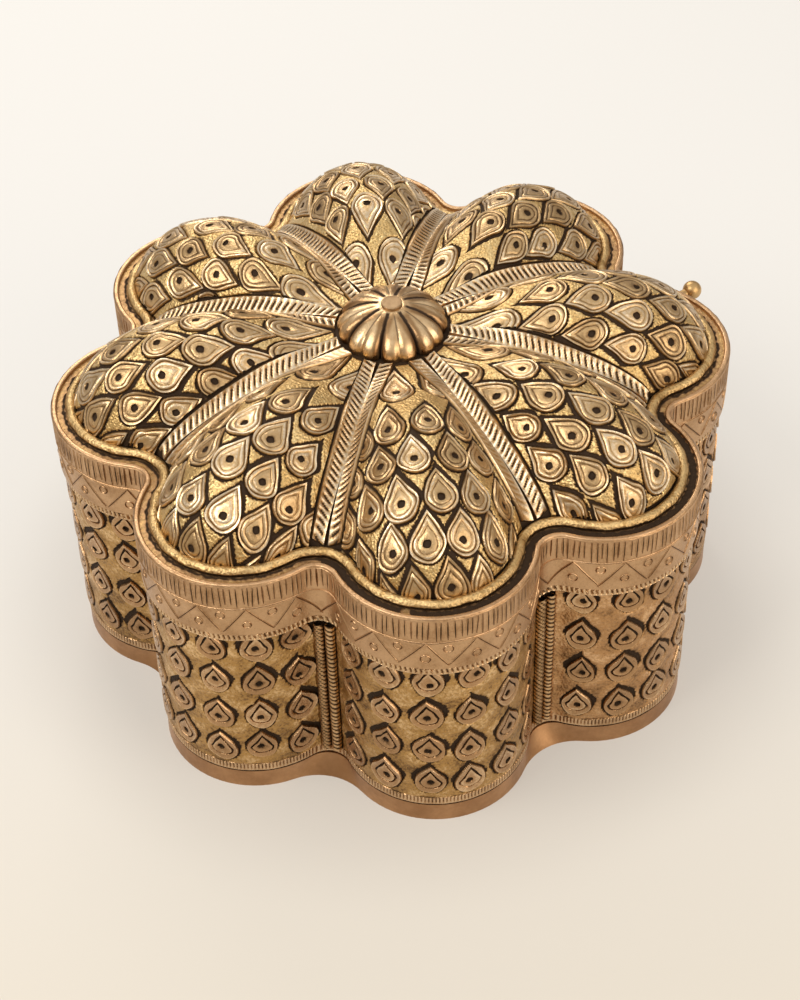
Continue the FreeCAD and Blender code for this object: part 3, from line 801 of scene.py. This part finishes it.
class FLOWERBOX_OT_petals(bpy.types.Operator):
    """Chases the eight petals of the lid: stippled ground, black strokes and scales"""
    bl_idname = "flowerbox.petals"
    bl_label = "Petals"

    def rows(self, petal, pitch, start):
        """Places of the rows along the crest, an even way apart after the first two."""
        first, second = np.interp([23.3 * MM, start], petal.crest_x, petal.crest_s)
        rows = [first]
        while second < petal.length + 1.5 * MM:
            rows.append(second)
            second += pitch
        return rows

    def scales(self, petal, k, dice):
        """Staggered rows of scales, each bowed like the petal's rim."""
        relief = bpy.context.scene.flower_relief
        slide = dice.uniform(-0.25, 0.25)
        made = []
        start = {5: 33.5, 6: 38.2, 7: 38.6}.get(k, dice.uniform(34.5, 37.5)) * MM
        for number, row in enumerate(self.rows(petal, relief.row_pitch, start)):
            shift = 0.5 * ((number + 1) % 2) + slide
            point = (2.0, 2.1, 1.92)[min(number, 2)]
            follow = (0.9, 0.5, 0.25)[min(number, 2)]
            stretch = (1.45, 1.12, 1.0)[min(number, 2)]
            radius = relief.scale_radius * (0.98, 0.95, 1.0)[min(number, 2)]
            pitch = relief.column_pitch * (1.15, 0.98, 1.0)[min(number, 2)]
            for column in range(-5, 6):
                s = row + dice.gauss(0, 0.3 * MM)
                w = (column + shift) * pitch + dice.gauss(0, 0.25 * MM)
                x, y = petal.to_plan(s, w)
                angle = abs(math.atan2(y[0], x[0]))
                from_valley = math.hypot(x[0], y[0]) * math.sin(HALF - angle)
                if from_valley > 3.5 * MM - 0.45 * radius and row < petal.length + 2 * MM:
                    made.append(Scale(s, w, follow * math.atan2(w, s), radius, point, dice, stretch))
        return made

    def ground(self, name, plan, petal, scales, tone_shift):
        relief = bpy.context.scene.flower_relief
        start, border = 12.5 * MM, 3.45 * MM

        def place(u, v):
            v = 2 * v - 1
            first = np.interp(start, petal.crest_x, petal.crest_s)
            crest = np.interp(first + u * (petal.length - first), petal.crest_s, petal.crest_x)
            out = (crest - start) / (petal.end - start)
            angle = v * HALF * 0.85
            for _ in range(8):
                reach = plan.outline(angle, plan.dome_offset)
                radius = start + out * (reach - start)
                angle = v * (HALF - np.arcsin(border / radius))
            x, y = radius * np.cos(angle), radius * np.sin(angle)
            depth = strokes(scales, *petal.from_plan(x, y), relief.stroke * (1 - 0.35 * tone_shift))
            rim = smooth(0.45 * MM, 0.15 * MM, reach - radius)
            side = smooth(0.42 * MM, 0.15 * MM, radius * (HALF - np.abs(angle)) - border)
            foot = smooth(1.0 * MM, 0.4 * MM, radius - start)
            depth = np.maximum(depth, np.maximum(rim, np.maximum(side, 0.8 * foot)))
            burr = smooth(0.02, 0.25, depth) * smooth(0.65, 0.35, depth)
            raised = relief.ground * (1 - 0.88 * depth) + 0.03 * MM * waver(x, y, 1.1 * MM) + 0.12 * MM * burr
            edge = (np.abs(v) > 0.999) | (u > 0.999) | (u < 0.001)
            raised = np.where(edge, -0.3 * MM, raised)
            return plan.on_dome(x, y, raised), smooth(0.45, 0.8, depth) * (1 - 0.45 * tone_shift) + 0.12 * (1 - burr)

        return grid_piece(name, 230, 160, place)

    def execute(self, context):
        plan = the_plan()
        petal = PetalMap(plan)
        dice = random.Random(context.scene.flower_relief.seed)
        count = 28
        master = ring_master("scale_master", PETAL_RINGS, count)
        for k in range(PETALS):
            scales = self.scales(petal, k, dice)
            # Petals 2 to 5, round the back of the lid, get thinner strokes and less black.
            tone_shift = {1: 0.3, 2: 0.3, 3: 1.0, 4: 1.0}.get(k, 0.0)
            ground = self.ground("petal_ground_%d" % (k + 1), plan, petal, scales, tone_shift)
            face_out(ground, upwards)
            copies = [scale_copy(master, scale, PETAL_RINGS, count, petal.place) for scale in scales]
            chased = joined("petal_scales_%d" % (k + 1), copies)
            self.trim(chased, plan)
            face_out(chased, upwards)
            for obj in (ground, chased):
                write_points(obj, turned(read_points(obj), axis_of(k)))
            finish_piece(ground, LID, Finishes.get("ground"), 60)
            finish_piece(chased, LID, Finishes.get("petal"), 60, ("petal_scales",))
        bpy.data.objects.remove(master)
        repaint("lid_dome", "dome")
        return {"FINISHED"}

    def trim(self, obj, plan):
        """Cuts the scales along the milled strips on both sides of the petal."""
        border = 3.5 * MM
        choose(obj)
        bpy.ops.object.mode_set(mode="EDIT")
        for side in (-1, 1):
            normal = (-math.sin(HALF), side * math.cos(HALF), 0)
            through = (-border * normal[0], -border * normal[1], 0)
            bpy.ops.mesh.select_all(action="SELECT")
            bpy.ops.mesh.bisect(plane_co=through, plane_no=normal, clear_outer=True)
        bpy.ops.mesh.select_all(action="DESELECT")
        bpy.ops.object.mode_set(mode="OBJECT")
        centres = face_centres(obj)
        radius = np.hypot(centres[:, 0], centres[:, 1])
        reach = plan.outline(np.arctan2(centres[:, 1], centres[:, 0]), plan.dome_offset)
        drop_faces(obj, radius > reach + 0.7 * MM)


class FLOWERBOX_OT_valley_bands(bpy.types.Operator):
    """Mills the sixteen slanted strips beside the valleys of the lid"""
    bl_idname = "flowerbox.valley_bands"
    bl_label = "Valley strips"

    def execute(self, context):
        plan = the_plan()
        relief = context.scene.flower_relief
        dice = random.Random(relief.seed + 1)
        start, inner, outer = 12.6 * MM, 0.2 * MM, 3.55 * MM
        pitch = 1.15 * relief.rung_pitch
        end = float(plan.outline(np.array(HALF), plan.dome_offset)) - 0.3 * MM
        rungs = int((end - start) / pitch)
        strips = []
        for k in range(PETALS):
            for side in (-1, 1):
                phase, lean = dice.uniform(0, 1), dice.uniform(0.30, 0.42)
                depth = 0.4 * MM * (0.3 if (k, side) in ((7, 1), (6, -1)) else 1.0)

                def place(u, v, side=side, phase=phase, lean=lean, depth=depth):
                    reach = start + u * (end - start)
                    off = inner + v * (outer - inner)
                    angle = HALF - np.arcsin(np.clip(off / reach, 0, 1))
                    x, y = reach * np.cos(angle), side * reach * np.sin(angle)
                    drift = 0.22 * waver(reach, off * 0, 4 * MM, 6 * phase)
                    turn = (reach + lean * 1.3 * off) / pitch + phase + drift
                    ridge = (0.5 + 0.5 * np.cos(2 * math.pi * turn)) ** 0.6
                    middle = smooth(0.16, 0.30, v) * smooth(0.84, 0.70, v)
                    edge = np.maximum(smooth(0.22, 0.12, v), smooth(0.80, 0.90, v))
                    raised = 0.90 * MM - depth * (1 - ridge) * middle + 0.08 * MM * edge
                    raised = np.where((v < 0.001) | (v > 0.999) | (u < 0.001) | (u > 0.999), 0, raised)
                    dark = smooth(0.58, 0.25, ridge) * middle * depth / (0.4 * MM)
                    dark = np.maximum(dark, np.where(v < 0.001, 0.6, v > 0.999))
                    return plan.on_dome(x, y, raised), dark

                strip = grid_piece("strip", rungs * 7, 9, place)
                face_out(strip, upwards)
                write_points(strip, turned(read_points(strip), axis_of(k)))
                strips.append(strip)
        bands = joined("valley_bands", strips)
        finish_piece(bands, LID, Finishes.get("wire"), 60, ("lid_valley_bands",))
        return {"FINISHED"}


class FLOWERBOX_OT_border(bpy.types.Operator):
    """Lays the bright roll round the petals and the black filling of the groove outside it"""
    bl_idname = "flowerbox.border"
    bl_label = "Border"

    def execute(self, context):
        plan = the_plan()
        groove_inner, groove_outer = 3.2 * MM, 1.1 * MM

        def lay(u, v):
            turns = u * PETALS
            k = np.minimum(np.floor(turns), PETALS - 1)
            t = (2 * (turns - k) - 1) * plan.half_length
            return k, t

        def groove(u, v):
            k, t = lay(u, v)
            x, y, _, _ = plan.around(t, -groove_inner + v * (groove_inner - groove_outer))
            z = plan.floor + 0.08 * MM + 0.22 * MM * (0.5 + 0.5 * waver(t + 40 * MM * k, v * MM, 0.7 * MM, 3))
            points = np.stack([x, y, z], -1)
            angle = HALF + 2 * HALF * k
            c, s = np.cos(angle), np.sin(angle)
            points = np.stack([c * x - s * y, s * x + c * y, z], -1)
            uneven = 0.12 * waver(t, v * 2 * MM, 1.1 * MM, 1)
            patches = smooth(0.86, 0.98, 0.5 + 0.5 * waver(t + 60 * MM * k, t * 0, 6 * MM, 2) + uneven)
            outer = smooth(0.2, 0.5, v + uneven + 0.1 * waver(t + 35 * MM * k, t * 0, 3 * MM, 4))
            bare = np.where((k == 0) | (k == PETALS - 1), patches, outer)
            ragged = 0.22 + 0.2 * waver(t + 25 * MM * k, v * MM, 0.9 * MM, 5)
            side = np.maximum(smooth(ragged, ragged * 0.3, v), smooth(1 - ragged, 1 - ragged * 0.3, v))
            return points, 1 - 0.9 * np.maximum(bare, 0.7 * side)

        fill = grid_piece("groove_fill", 2400, 10, groove)
        close_seams(fill)
        face_out(fill, upwards)
        finish_piece(fill, LID, Finishes.get("groove"), 60)

        def roll(u, v):
            k, t = lay(u, v)
            turn = 2 * math.pi * v
            wave = waver(t + 70 * MM * k, turn * 0, 3.2 * MM, 1)
            size = 1.15 * MM * (1 + 0.07 * wave)
            x, y, nx, ny = plan.around(t, -4.3 * MM + size * np.cos(turn) + 0.08 * MM * wave)
            flat = np.sign(np.sin(turn)) * np.abs(np.sin(turn)) ** 1.5
            z = plan.floor + 0.9 * MM + 1.0 * MM * flat + 0.08 * MM * waver(t + 30 * MM * k, t * 0, 2.5 * MM, 4)
            angle = HALF + 2 * HALF * k
            c, s = np.cos(angle), np.sin(angle)
            points = np.stack([c * x - s * y, s * x + c * y, z], -1)
            pitted = 0.3 * smooth(0.5, 0.9, waver(t + 15 * MM * k, v * 3 * MM, 1.4 * MM, 6))
            return points, smooth(0.25, -0.35, np.sin(turn)) + pitted

        ring = grid_piece("border_roll", 1000, 20, roll)
        close_seams(ring)
        choose(ring)
        bpy.ops.object.mode_set(mode="EDIT")
        bpy.ops.mesh.select_all(action="SELECT")
        bpy.ops.mesh.normals_make_consistent(inside=False)
        bpy.ops.object.mode_set(mode="OBJECT")
        finish_piece(ring, LID, Finishes.get("roll"), 70, ("lid_border_roll",))
        return {"FINISHED"}


class Engraver:
    """Cuts fine lines into a lobed wall: a dark furrow between two low burrs."""

    PROFILE = ((-2.0, 0.0, 0.1), (-1.05, 0.13, 0.0), (0.0, 0.015, 1.0), (1.05, 0.13, 0.0), (2.0, 0.0, 0.1))
    RIDGE = ((-1.0, 0.0, 0.1), (-0.6, 0.12, 0.0), (0.0, 0.16, 0.0), (0.6, 0.12, 0.0), (1.0, 0.0, 0.1))

    def __init__(self, plan, offset, dice):
        self.plan, self.offset, self.dice = plan, offset, dice
        self.points, self.faces, self.patina = [], [], []

    def line(self, k, path, width, closed=False, profile=PROFILE):
        """A furrow along (arc length, height) points on lobe k."""
        path = np.array(path, float)
        count = len(path)
        if closed:
            ahead = np.roll(path, -1, 0) - np.roll(path, 1, 0)
        else:
            ahead = np.gradient(path, axis=0)
        ahead /= np.maximum(np.linalg.norm(ahead, axis=1, keepdims=True), 1e-9)
        beside = np.stack([-ahead[:, 1], ahead[:, 0]], -1)
        taper = np.ones(count)
        if not closed:
            share = np.linspace(0, 1, count)
            taper = np.minimum(1, 0.35 + 5 * np.minimum(share, 1 - share))
        first = len(self.points)
        for i in range(count):
            for across, high, dark in profile:
                t, z = path[i] + beside[i] * across * width / 2 * taper[i]
                x, y, nx, ny = self.plan.around(t, self.offset + high * MM)
                angle = axis_of(k)
                c, s = math.cos(angle), math.sin(angle)
                self.points.append((c * x - s * y, s * x + c * y, z))
                self.patina.append(dark)
        wide = len(profile)
        for i in range(count if closed else count - 1):
            j = (i + 1) % count
            for a in range(wide - 1):
                self.faces.append((first + i * wide + a, first + i * wide + a + 1,
                                   first + j * wide + a + 1, first + j * wide + a))

    def finished(self, name):
        mesh = bpy.data.meshes.new(name)
        mesh.from_pydata([tuple(map(float, p)) for p in self.points], [], self.faces)
        obj = bpy.data.objects.new(name, mesh)
        bpy.context.collection.objects.link(obj)
        write_patina(obj, np.array(self.patina))
        choose(obj)
        bpy.ops.object.mode_set(mode="EDIT")
        bpy.ops.mesh.select_all(action="SELECT")
        bpy.ops.object.mode_set(mode="OBJECT")
        return obj


class FLOWERBOX_OT_skirt(bpy.types.Operator):
    """Engraves the lid's skirt with ticks, a line, zigzags and small circles"""
    bl_idname = "flowerbox.skirt"
    bl_label = "Skirt"

    def execute(self, context):
        plan = the_plan()
        dice = random.Random(context.scene.flower_relief.seed + 2)
        engraver = Engraver(plan, 0.0, dice)
        top, line_z, low = 65.9 * MM, 59.5 * MM, 52.5 * MM
        for k in range(PETALS):
            t = -plan.half_length + 0.5 * MM
            while t < plan.half_length - 0.3 * MM:
                lean = dice.gauss(0, 0.15 * MM)
                high = top - dice.uniform(0.0, 0.35) * MM
                end = line_z + dice.uniform(0.2, 1.6) * MM
                path = [(t + lean * i / 3, high + (end - high) * i / 3) for i in range(4)]
                engraver.line(k, path, dice.uniform(0.26, 0.50) * MM)
                t += dice.uniform(0.95, 1.5) * MM
            span = np.linspace(-plan.half_length, plan.half_length, 90)
            wave = 0.15 * MM * waver(span, span * 0, 6 * MM, k)
            engraver.line(k, np.stack([span, line_z + wave], -1), 0.24 * MM)
            wave = 0.14 * MM * waver(span, span * 0, 1.6 * MM, k)
            engraver.line(k, np.stack([span, top + wave], -1), 0.6 * MM, profile=engraver.RIDGE)
            count = 6
            pitch = 2 * plan.half_length / count
            for i in range(count):
                left = -plan.half_length + i * pitch + dice.gauss(0, 0.3 * MM)
                middle = -plan.half_length + (i + 0.5) * pitch + dice.gauss(0, 0.3 * MM)
                right = -plan.half_length + (i + 1) * pitch + dice.gauss(0, 0.3 * MM)
                up = line_z - 0.2 * MM
                steps = np.linspace(0, 1, 7)
                engraver.line(k, [(left + (middle - left) * s, low + (up - low) * s) for s in steps], 0.28 * MM)
                engraver.line(k, [(middle + (right - middle) * s, up + (low - up) * s) for s in steps], 0.28 * MM)
                for centre, z in ((middle, 54.6 * MM), (right, 57.5 * MM)):
                    if abs(centre) > plan.half_length - 2 * MM:
                        continue
                    size = dice.uniform(0.85, 1.1) * MM
                    turn = np.linspace(0, 2 * math.pi, 15)[:-1]
                    engraver.line(k, np.stack([centre + size * np.cos(turn), z + size * np.sin(turn)], -1),
                                  0.2 * MM, closed=True)
        lines = engraver.finished("skirt_engraving")
        face_out(lines, away)
        finish_piece(lines, LID, Finishes.get("skirt"), 80)
        repaint("lid_skirt", "skirt")
        return {"FINISHED"}


class FLOWERBOX_OT_walls(bpy.types.Operator):
    """Chases the eight lobes of the body with level rows of scales"""
    bl_idname = "flowerbox.walls"
    bl_label = "Walls"

    def execute(self, context):
        plan = the_plan()
        relief = context.scene.flower_relief
        dice = random.Random(relief.seed + 3)
        count = 24
        master = ring_master("wall_scale_master", WALL_RINGS, count)
        low, high = 7.4 * MM, 49.4 * MM
        border = plan.half_length - 1.5 * MM
        for k in range(PETALS):
            scales = []
            for row in range(4):
                for column in range(6):
                    t = (column - 2.5) * 9.95 * MM + dice.gauss(0, 0.3 * MM) + (2.0 * MM if k == 6 else 0)
                    z = (12.8 + 11.1 * row) * MM + dice.gauss(0, 0.35 * MM)
                    size = relief.wall_scale_radius * (0.94 if column in (0, 5) else 1.0)
                    if not self.behind_hinge(plan, k, t, z):
                        scales.append(Scale(z, t, math.pi, size, 1.38, dice))

            def on_wall(z, t, raised):
                x, y, _, _ = plan.around(np.clip(t, -border, border), plan.wall_offset + raised)
                return np.stack([x, y, z], -1)

            def place(u, v):
                t = (2 * u - 1) * border
                z = low + v * (high - low)
                depth = strokes(scales, z, t, relief.stroke * 1.25)
                side = smooth(0.9 * MM, 0.3 * MM, border - np.abs(t))
                # Darker, slightly sunk patches of the ground, more of them towards the bottom.
                tone_shift = smooth(0.45, 0.9, 0.5 + 0.5 * waver(z, t, 3.1 * MM, k) + 0.3 * (1 - z / high))
                depth = np.maximum(depth, side)
                raised = relief.ground * (1 - 0.85 * depth) - 0.12 * MM * tone_shift * (1 - depth)
                burr = smooth(0.02, 0.25, depth) * smooth(0.65, 0.35, depth)
                raised = raised + 0.04 * MM * waver(z, t, 1.3 * MM, k + 2) + 0.18 * MM * burr
                edge = (u < 0.001) | (u > 0.999) | (v < 0.001) | (v > 0.999)
                raised = np.where(edge, -0.3 * MM, raised)
                return on_wall(z, t, raised), smooth(0.45, 0.8, depth) + 0.22 * tone_shift + 0.12 * (1 - burr)

            ground = grid_piece("wall_ground_%d" % (k + 1), 190, 130, place)
            copies = [scale_copy(master, scale, WALL_RINGS, count, on_wall) for scale in scales]
            chased = joined("wall_scales_%d" % (k + 1), copies)
            # Walls 1 and 2, on the right, take the redder copy of the ground: painted warm light.
            for obj, finish in ((ground, "warm_lit_wall" if k < 2 else "wall"), (chased, "wall_scale")):
                write_points(obj, turned(read_points(obj), axis_of(k)))
                face_out(obj, away)
                finish_piece(obj, BOX, Finishes.get(finish), 60,
                             ("wall_scales",) if obj is chased else ())
        bpy.data.objects.remove(master)
        repaint("body_wall", "shell")
        return {"FINISHED"}

    def behind_hinge(self, plan, k, t, z):
        """True where the hinge's lug covers the wall."""
        low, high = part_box("hinge_body_lug")
        x, y, _, _ = plan.around(t, plan.wall_offset)
        angle = axis_of(k)
        across = math.cos(angle) * float(x) - math.sin(angle) * float(y)
        back = math.sin(angle) * float(x) + math.cos(angle) * float(y)
        room = bpy.context.scene.flower_relief.wall_scale_radius
        return back > 0 and low.x - room < across < high.x + room and z > low.z - 1.5 * room


class FLOWERBOX_OT_wires(bpy.types.Operator):
    """Twists the wires in the valleys and mills the beads under the skirt and above the foot"""
    bl_idname = "flowerbox.wires"
    bl_label = "Wires"

    def execute(self, context):
        plan = the_plan()
        relief = context.scene.flower_relief
        dice = random.Random(relief.seed + 4)
        low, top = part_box("body_valley_ropes")[0].z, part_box("body_valley_ropes")[1].z
        lug_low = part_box("hinge_body_lug")[0].z
        radius, spacing = 1.15 * MM, 2.42 * MM
        fillet = plan.fillet - plan.wall_offset
        reach = fillet - radius + 0.2 * MM
        swing = math.asin(spacing / 2 / reach)
        wires = []
        for k in range(PETALS):
            valley = 2 * HALF * k
            high = lug_low - 0.02 * MM if k == 2 else top
            for side in (-1, 1):
                centre = np.array([plan.distance * math.cos(valley), plan.distance * math.sin(valley)])
                direction = valley + side * swing
                centre = centre - reach * np.array([math.cos(direction), math.sin(direction)])
                phase = dice.uniform(0, 1)

                def place(u, v, centre=centre, phase=phase, side=side, high=high):
                    turn = 2 * math.pi * u
                    z = low + v * (high - low)
                    lean = (0.25 if side < 0 else 1.0) * np.sin(turn - math.atan2(centre[1], centre[0])) * MM
                    drift = phase + 0.25 * waver(z, z * 0, 4 * MM, 6 * phase)
                    twist = (z + lean) / relief.rung_pitch + drift
                    ridge = (0.5 + 0.5 * np.cos(2 * math.pi * twist)) ** 0.7
                    size = radius * (0.80 + 0.22 * ridge)
                    points = np.stack([centre[0] + size * np.cos(turn), centre[1] + size * np.sin(turn), z], -1)
                    return points, smooth(0.55, 0.15, ridge)

                wire = grid_piece("wire", 14, int((high - low) / relief.rung_pitch) * 6, place)
                close_seams(wire)
                choose(wire)
                bpy.ops.object.mode_set(mode="EDIT")
                bpy.ops.mesh.select_all(action="SELECT")
                bpy.ops.mesh.normals_make_consistent(inside=False)
                bpy.ops.object.mode_set(mode="OBJECT")
                wires.append(wire)
        ropes = joined("valley_wires", wires)
        finish_piece(ropes, BOX, Finishes.get("wall_wire"), 60, ("body_valley_ropes",))
        self.bead("foot_rope", plan, 0.68 * relief.rung_pitch, 0.7, 0.0, 0.5 * MM)
        self.bead("body_top_rope", plan, 0.9 * relief.rung_pitch, 1.1, 0.5, 0.0)
        repaint("foot_band", "foot")
        return {"FINISHED"}

    def bead(self, node, plan, pitch, rise, lean, taller):
        """A milled strip all the way round: fine ticks between two bright edges and two dark lines."""
        low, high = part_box(node)[0].z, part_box(node)[1].z + taller
        pieces = []
        half = plan.half_length
        count = round(2 * half / pitch)
        for k in range(PETALS):

            def place(u, v, k=k):
                t = (2 * u - 1) * half
                wave = 0.08 * MM * waver(t + 50 * MM * k, t * 0, 3 * MM, 1)
                z = low + v * (high - low) + wave * (v > 0.01) * (v < 0.99)
                turn = u * count + lean * (v - 0.5)
                ridge = (0.5 + 0.5 * np.cos(2 * math.pi * turn)) ** 0.7
                inside = smooth(0.20, 0.30, v) * smooth(0.86, 0.76, v)
                thick = 0.07 * waver(t + 45 * MM * k, t * 0, 2.2 * MM, 5)
                line = np.maximum(smooth(0.14, 0.07, v), smooth(0.78 + thick, 0.86 + thick, v))
                raised = rise * (0.85 - 0.35 * (1 - ridge) * inside) * (1 - line) + 0.12 * line
                raised = np.where((v < 0.001) | (v > 0.999), -0.3, raised)
                patchy = 0.6 + 0.4 * waver(t + 20 * MM * k, z, 2.5 * MM, 3)
                dark = np.maximum(smooth(0.55, 0.1, ridge) * inside * (0.25 + 0.5 * patchy), line)
                x, y, _, _ = plan.around(t, plan.wall_offset + raised * MM)
                return np.stack([x, y, z], -1), dark

            piece = grid_piece("bead", count * 6, 16, place)
            write_points(piece, turned(read_points(piece), axis_of(k)))
            face_out(piece, away)
            pieces.append(piece)
        bead = joined(node + "_milled", pieces)
        close_seams(bead)
        finish_piece(bead, BOX, Finishes.get("wall_scale"), 60, (node,))


class FLOWERBOX_OT_fittings(bpy.types.Operator):
    """Finishes the knob, the hinge and the plain sheets inside the box"""
    bl_idname = "flowerbox.fittings"
    bl_label = "Knob, hinge and inside"

    def execute(self, context):
        for node in ("inner_lip", "base_plate", "knob_washer", "hinge_lid_lug", "hinge_body_lug", "hinge_pin"):
            repaint(node, "plain")
        repaint("knob_rosette", "knob")
        repaint("knob_rivet", "rivet")
        return {"FINISHED"}


class FLOWERBOX_OT_stage(bpy.types.Operator):
    """Sets the pale floor, the soft lamps and the camera"""
    bl_idname = "flowerbox.stage"
    bl_label = "Stage"

    def execute(self, context):
        self.floor()
        self.lamps()
        self.camera()
        return {"FINISHED"}

    def floor(self):
        clear_selection()
        bpy.ops.mesh.primitive_grid_add(x_subdivisions=8, y_subdivisions=8, size=8)
        floor = bpy.context.object
        floor.name = "floor"
        nodes = Finish("pale_floor")
        path = nodes.make("ShaderNodeLightPath", {}, {})
        parts = nodes.make("ShaderNodeSeparateXYZ", {}, {0: nodes.object_point()})
        away_from_camera = Value(nodes, parts.outputs[1]) * 0.497 - Value(nodes, parts.outputs[0]) * 0.868
        distance = away_from_camera.step(-0.28, 0.12)
        near = nodes.make("ShaderNodeEmission", {}, {"Color": (0.871, 0.776, 0.638, 1), "Strength": 1.0})
        far = nodes.make("ShaderNodeEmission", {}, {"Color": (0.956, 0.930, 0.879, 1), "Strength": 1.0})
        glow = nodes.make("ShaderNodeMixShader", {}, {0: distance, 1: near.outputs[0], 2: far.outputs[0]})
        colour = nodes.mix(distance, (0.56, 0.505, 0.41, 1), (0.66, 0.65, 0.635, 1))
        x, y = Value(nodes, parts.outputs[0]), Value(nodes, parts.outputs[1])
        # Painted shadow: the floor's paint turns dark brown within 0.070 to 0.104 m of the axis, a soft shadow painted
        # round the foot.
        from_axis = (x * x + y * y).power(0.5)
        colour = nodes.mix((1 - from_axis.step(0.070, 0.104)) * 0.45, colour, (0.30, 0.25, 0.21, 1))
        paint = nodes.make("ShaderNodeBsdfDiffuse", {}, {"Color": colour})
        seen = Value(nodes, path.outputs["Is Camera Ray"]).larger(Value(nodes, path.outputs["Is Glossy Ray"]))
        share = nodes.make("ShaderNodeMixShader", {}, {0: seen * 0.42, 1: paint.outputs[0], 2: glow.outputs[0]})
        out = nodes.make("ShaderNodeOutputMaterial", {}, {})
        nodes.tree.links.new(share.outputs[0], out.inputs["Surface"])
        floor.data.materials.append(nodes.material)

    def lamps(self):
        world = bpy.data.worlds.new("soft_room")
        bpy.context.scene.world = world
        world.use_nodes = True
        tree = world.node_tree
        tree.nodes.clear()
        coordinates = tree.nodes.new("ShaderNodeTexCoord")
        parts = tree.nodes.new("ShaderNodeSeparateXYZ")
        tree.links.new(coordinates.outputs["Generated"], parts.inputs[0])
        upwards_share = tree.nodes.new("ShaderNodeMapRange")
        upwards_share.interpolation_type = "SMOOTHSTEP"
        upwards_share.inputs["From Min"].default_value = 0.05
        upwards_share.inputs["From Max"].default_value = 0.85
        tree.links.new(parts.outputs[2], upwards_share.inputs["Value"])
        walls = tree.nodes.new("ShaderNodeBackground")
        walls.inputs["Color"].default_value = (0.62, 0.52, 0.42, 1)
        walls.inputs["Strength"].default_value = 0.55
        ceiling = tree.nodes.new("ShaderNodeBackground")
        ceiling.inputs["Color"].default_value = (1.0, 0.96, 0.90, 1)
        ceiling.inputs["Strength"].default_value = 0.9
        blend = tree.nodes.new("ShaderNodeMixShader")
        tree.links.new(upwards_share.outputs["Result"], blend.inputs[0])
        tree.links.new(walls.outputs[0], blend.inputs[1])
        tree.links.new(ceiling.outputs[0], blend.inputs[2])
        out = tree.nodes.new("ShaderNodeOutputWorld")
        tree.links.new(blend.outputs[0], out.inputs[0])
        self.area("key", (0.0, -0.62, 0.72), (0, 0, 0.05), 0.55, 4.7, (1.0, 0.97, 0.92))
        self.area("fill", (0.56, 0.22, 0.32), (0, 0, 0.03), 0.50, 2.0, (1.0, 0.88, 0.74))
        self.area("side", (-0.65, 0.15, 0.50), (0, 0, 0.05), 0.35, 2.2, (1.0, 0.95, 0.88))

    def area(self, name, place, target, size, power, colour):
        data = bpy.data.lights.new(name, "AREA")
        data.size = size
        data.energy = power
        data.color = colour
        lamp = bpy.data.objects.new(name, data)
        bpy.context.collection.objects.link(lamp)
        lamp.location = place
        lamp.rotation_euler = (Vector(target) - Vector(place)).to_track_quat("-Z", "Y").to_euler()

    def camera(self):
        data = bpy.data.cameras.new("camera")
        data.sensor_width = 36
        data.lens = 76.76
        data.clip_start, data.clip_end = 0.01, 20
        camera = bpy.data.objects.new("camera", data)
        bpy.context.collection.objects.link(camera)
        forward = np.array([-0.6194753, 0.354998, -0.70016197])
        up = np.array([-0.5920569, 0.3743906, 0.71365279])
        right = np.cross(forward, up)
        basis = Matrix([[right[i], up[i], -forward[i], 0] for i in range(3)] + [[0, 0, 0, 1]])
        camera.matrix_world = Matrix.Translation((0.31544750, -0.18017333, 0.38156830)) @ basis
        bpy.context.scene.camera = camera
        bpy.context.scene.view_settings.view_transform = "Standard"


class FLOWERBOX_PT_panel(bpy.types.Panel):
    """Buttons for each group of pieces"""
    bl_label = "Flower box"
    bl_idname = "FLOWERBOX_PT_panel"
    bl_space_type = "VIEW_3D"
    bl_region_type = "UI"
    bl_category = "Flower box"

    def draw(self, context):
        for group in (context.scene.flower_sizes, context.scene.flower_relief, context.scene.flower_colours):
            column = self.layout.column()
            for name in group.__annotations__:
                column.prop(group, name)
        for operator in OPERATORS:
            self.layout.operator(operator.bl_idname)


OPERATORS = (FLOWERBOX_OT_petals, FLOWERBOX_OT_valley_bands, FLOWERBOX_OT_border, FLOWERBOX_OT_skirt,
             FLOWERBOX_OT_walls, FLOWERBOX_OT_wires, FLOWERBOX_OT_fittings, FLOWERBOX_OT_stage)
GROUPS = {"flower_sizes": FlowerSizes, "flower_relief": FlowerRelief, "flower_colours": FlowerColours}


def register():
    for group in GROUPS.values():
        bpy.utils.register_class(group)
    for name, group in GROUPS.items():
        setattr(bpy.types.Scene, name, bpy.props.PointerProperty(type=group))
    for operator in OPERATORS:
        bpy.utils.register_class(operator)
    bpy.utils.register_class(FLOWERBOX_PT_panel)


def unregister():
    bpy.utils.unregister_class(FLOWERBOX_PT_panel)
    for operator in reversed(OPERATORS):
        bpy.utils.unregister_class(operator)
    for name in GROUPS:
        delattr(bpy.types.Scene, name)
    for group in reversed(list(GROUPS.values())):
        bpy.utils.unregister_class(group)


def main():
    register()
    bpy.ops.flowerbox.petals()
    bpy.ops.flowerbox.valley_bands()
    bpy.ops.flowerbox.border()
    bpy.ops.flowerbox.skirt()
    bpy.ops.flowerbox.walls()
    bpy.ops.flowerbox.wires()
    bpy.ops.flowerbox.fittings()
    bpy.ops.flowerbox.stage()


if __name__ == "__main__":
    main()
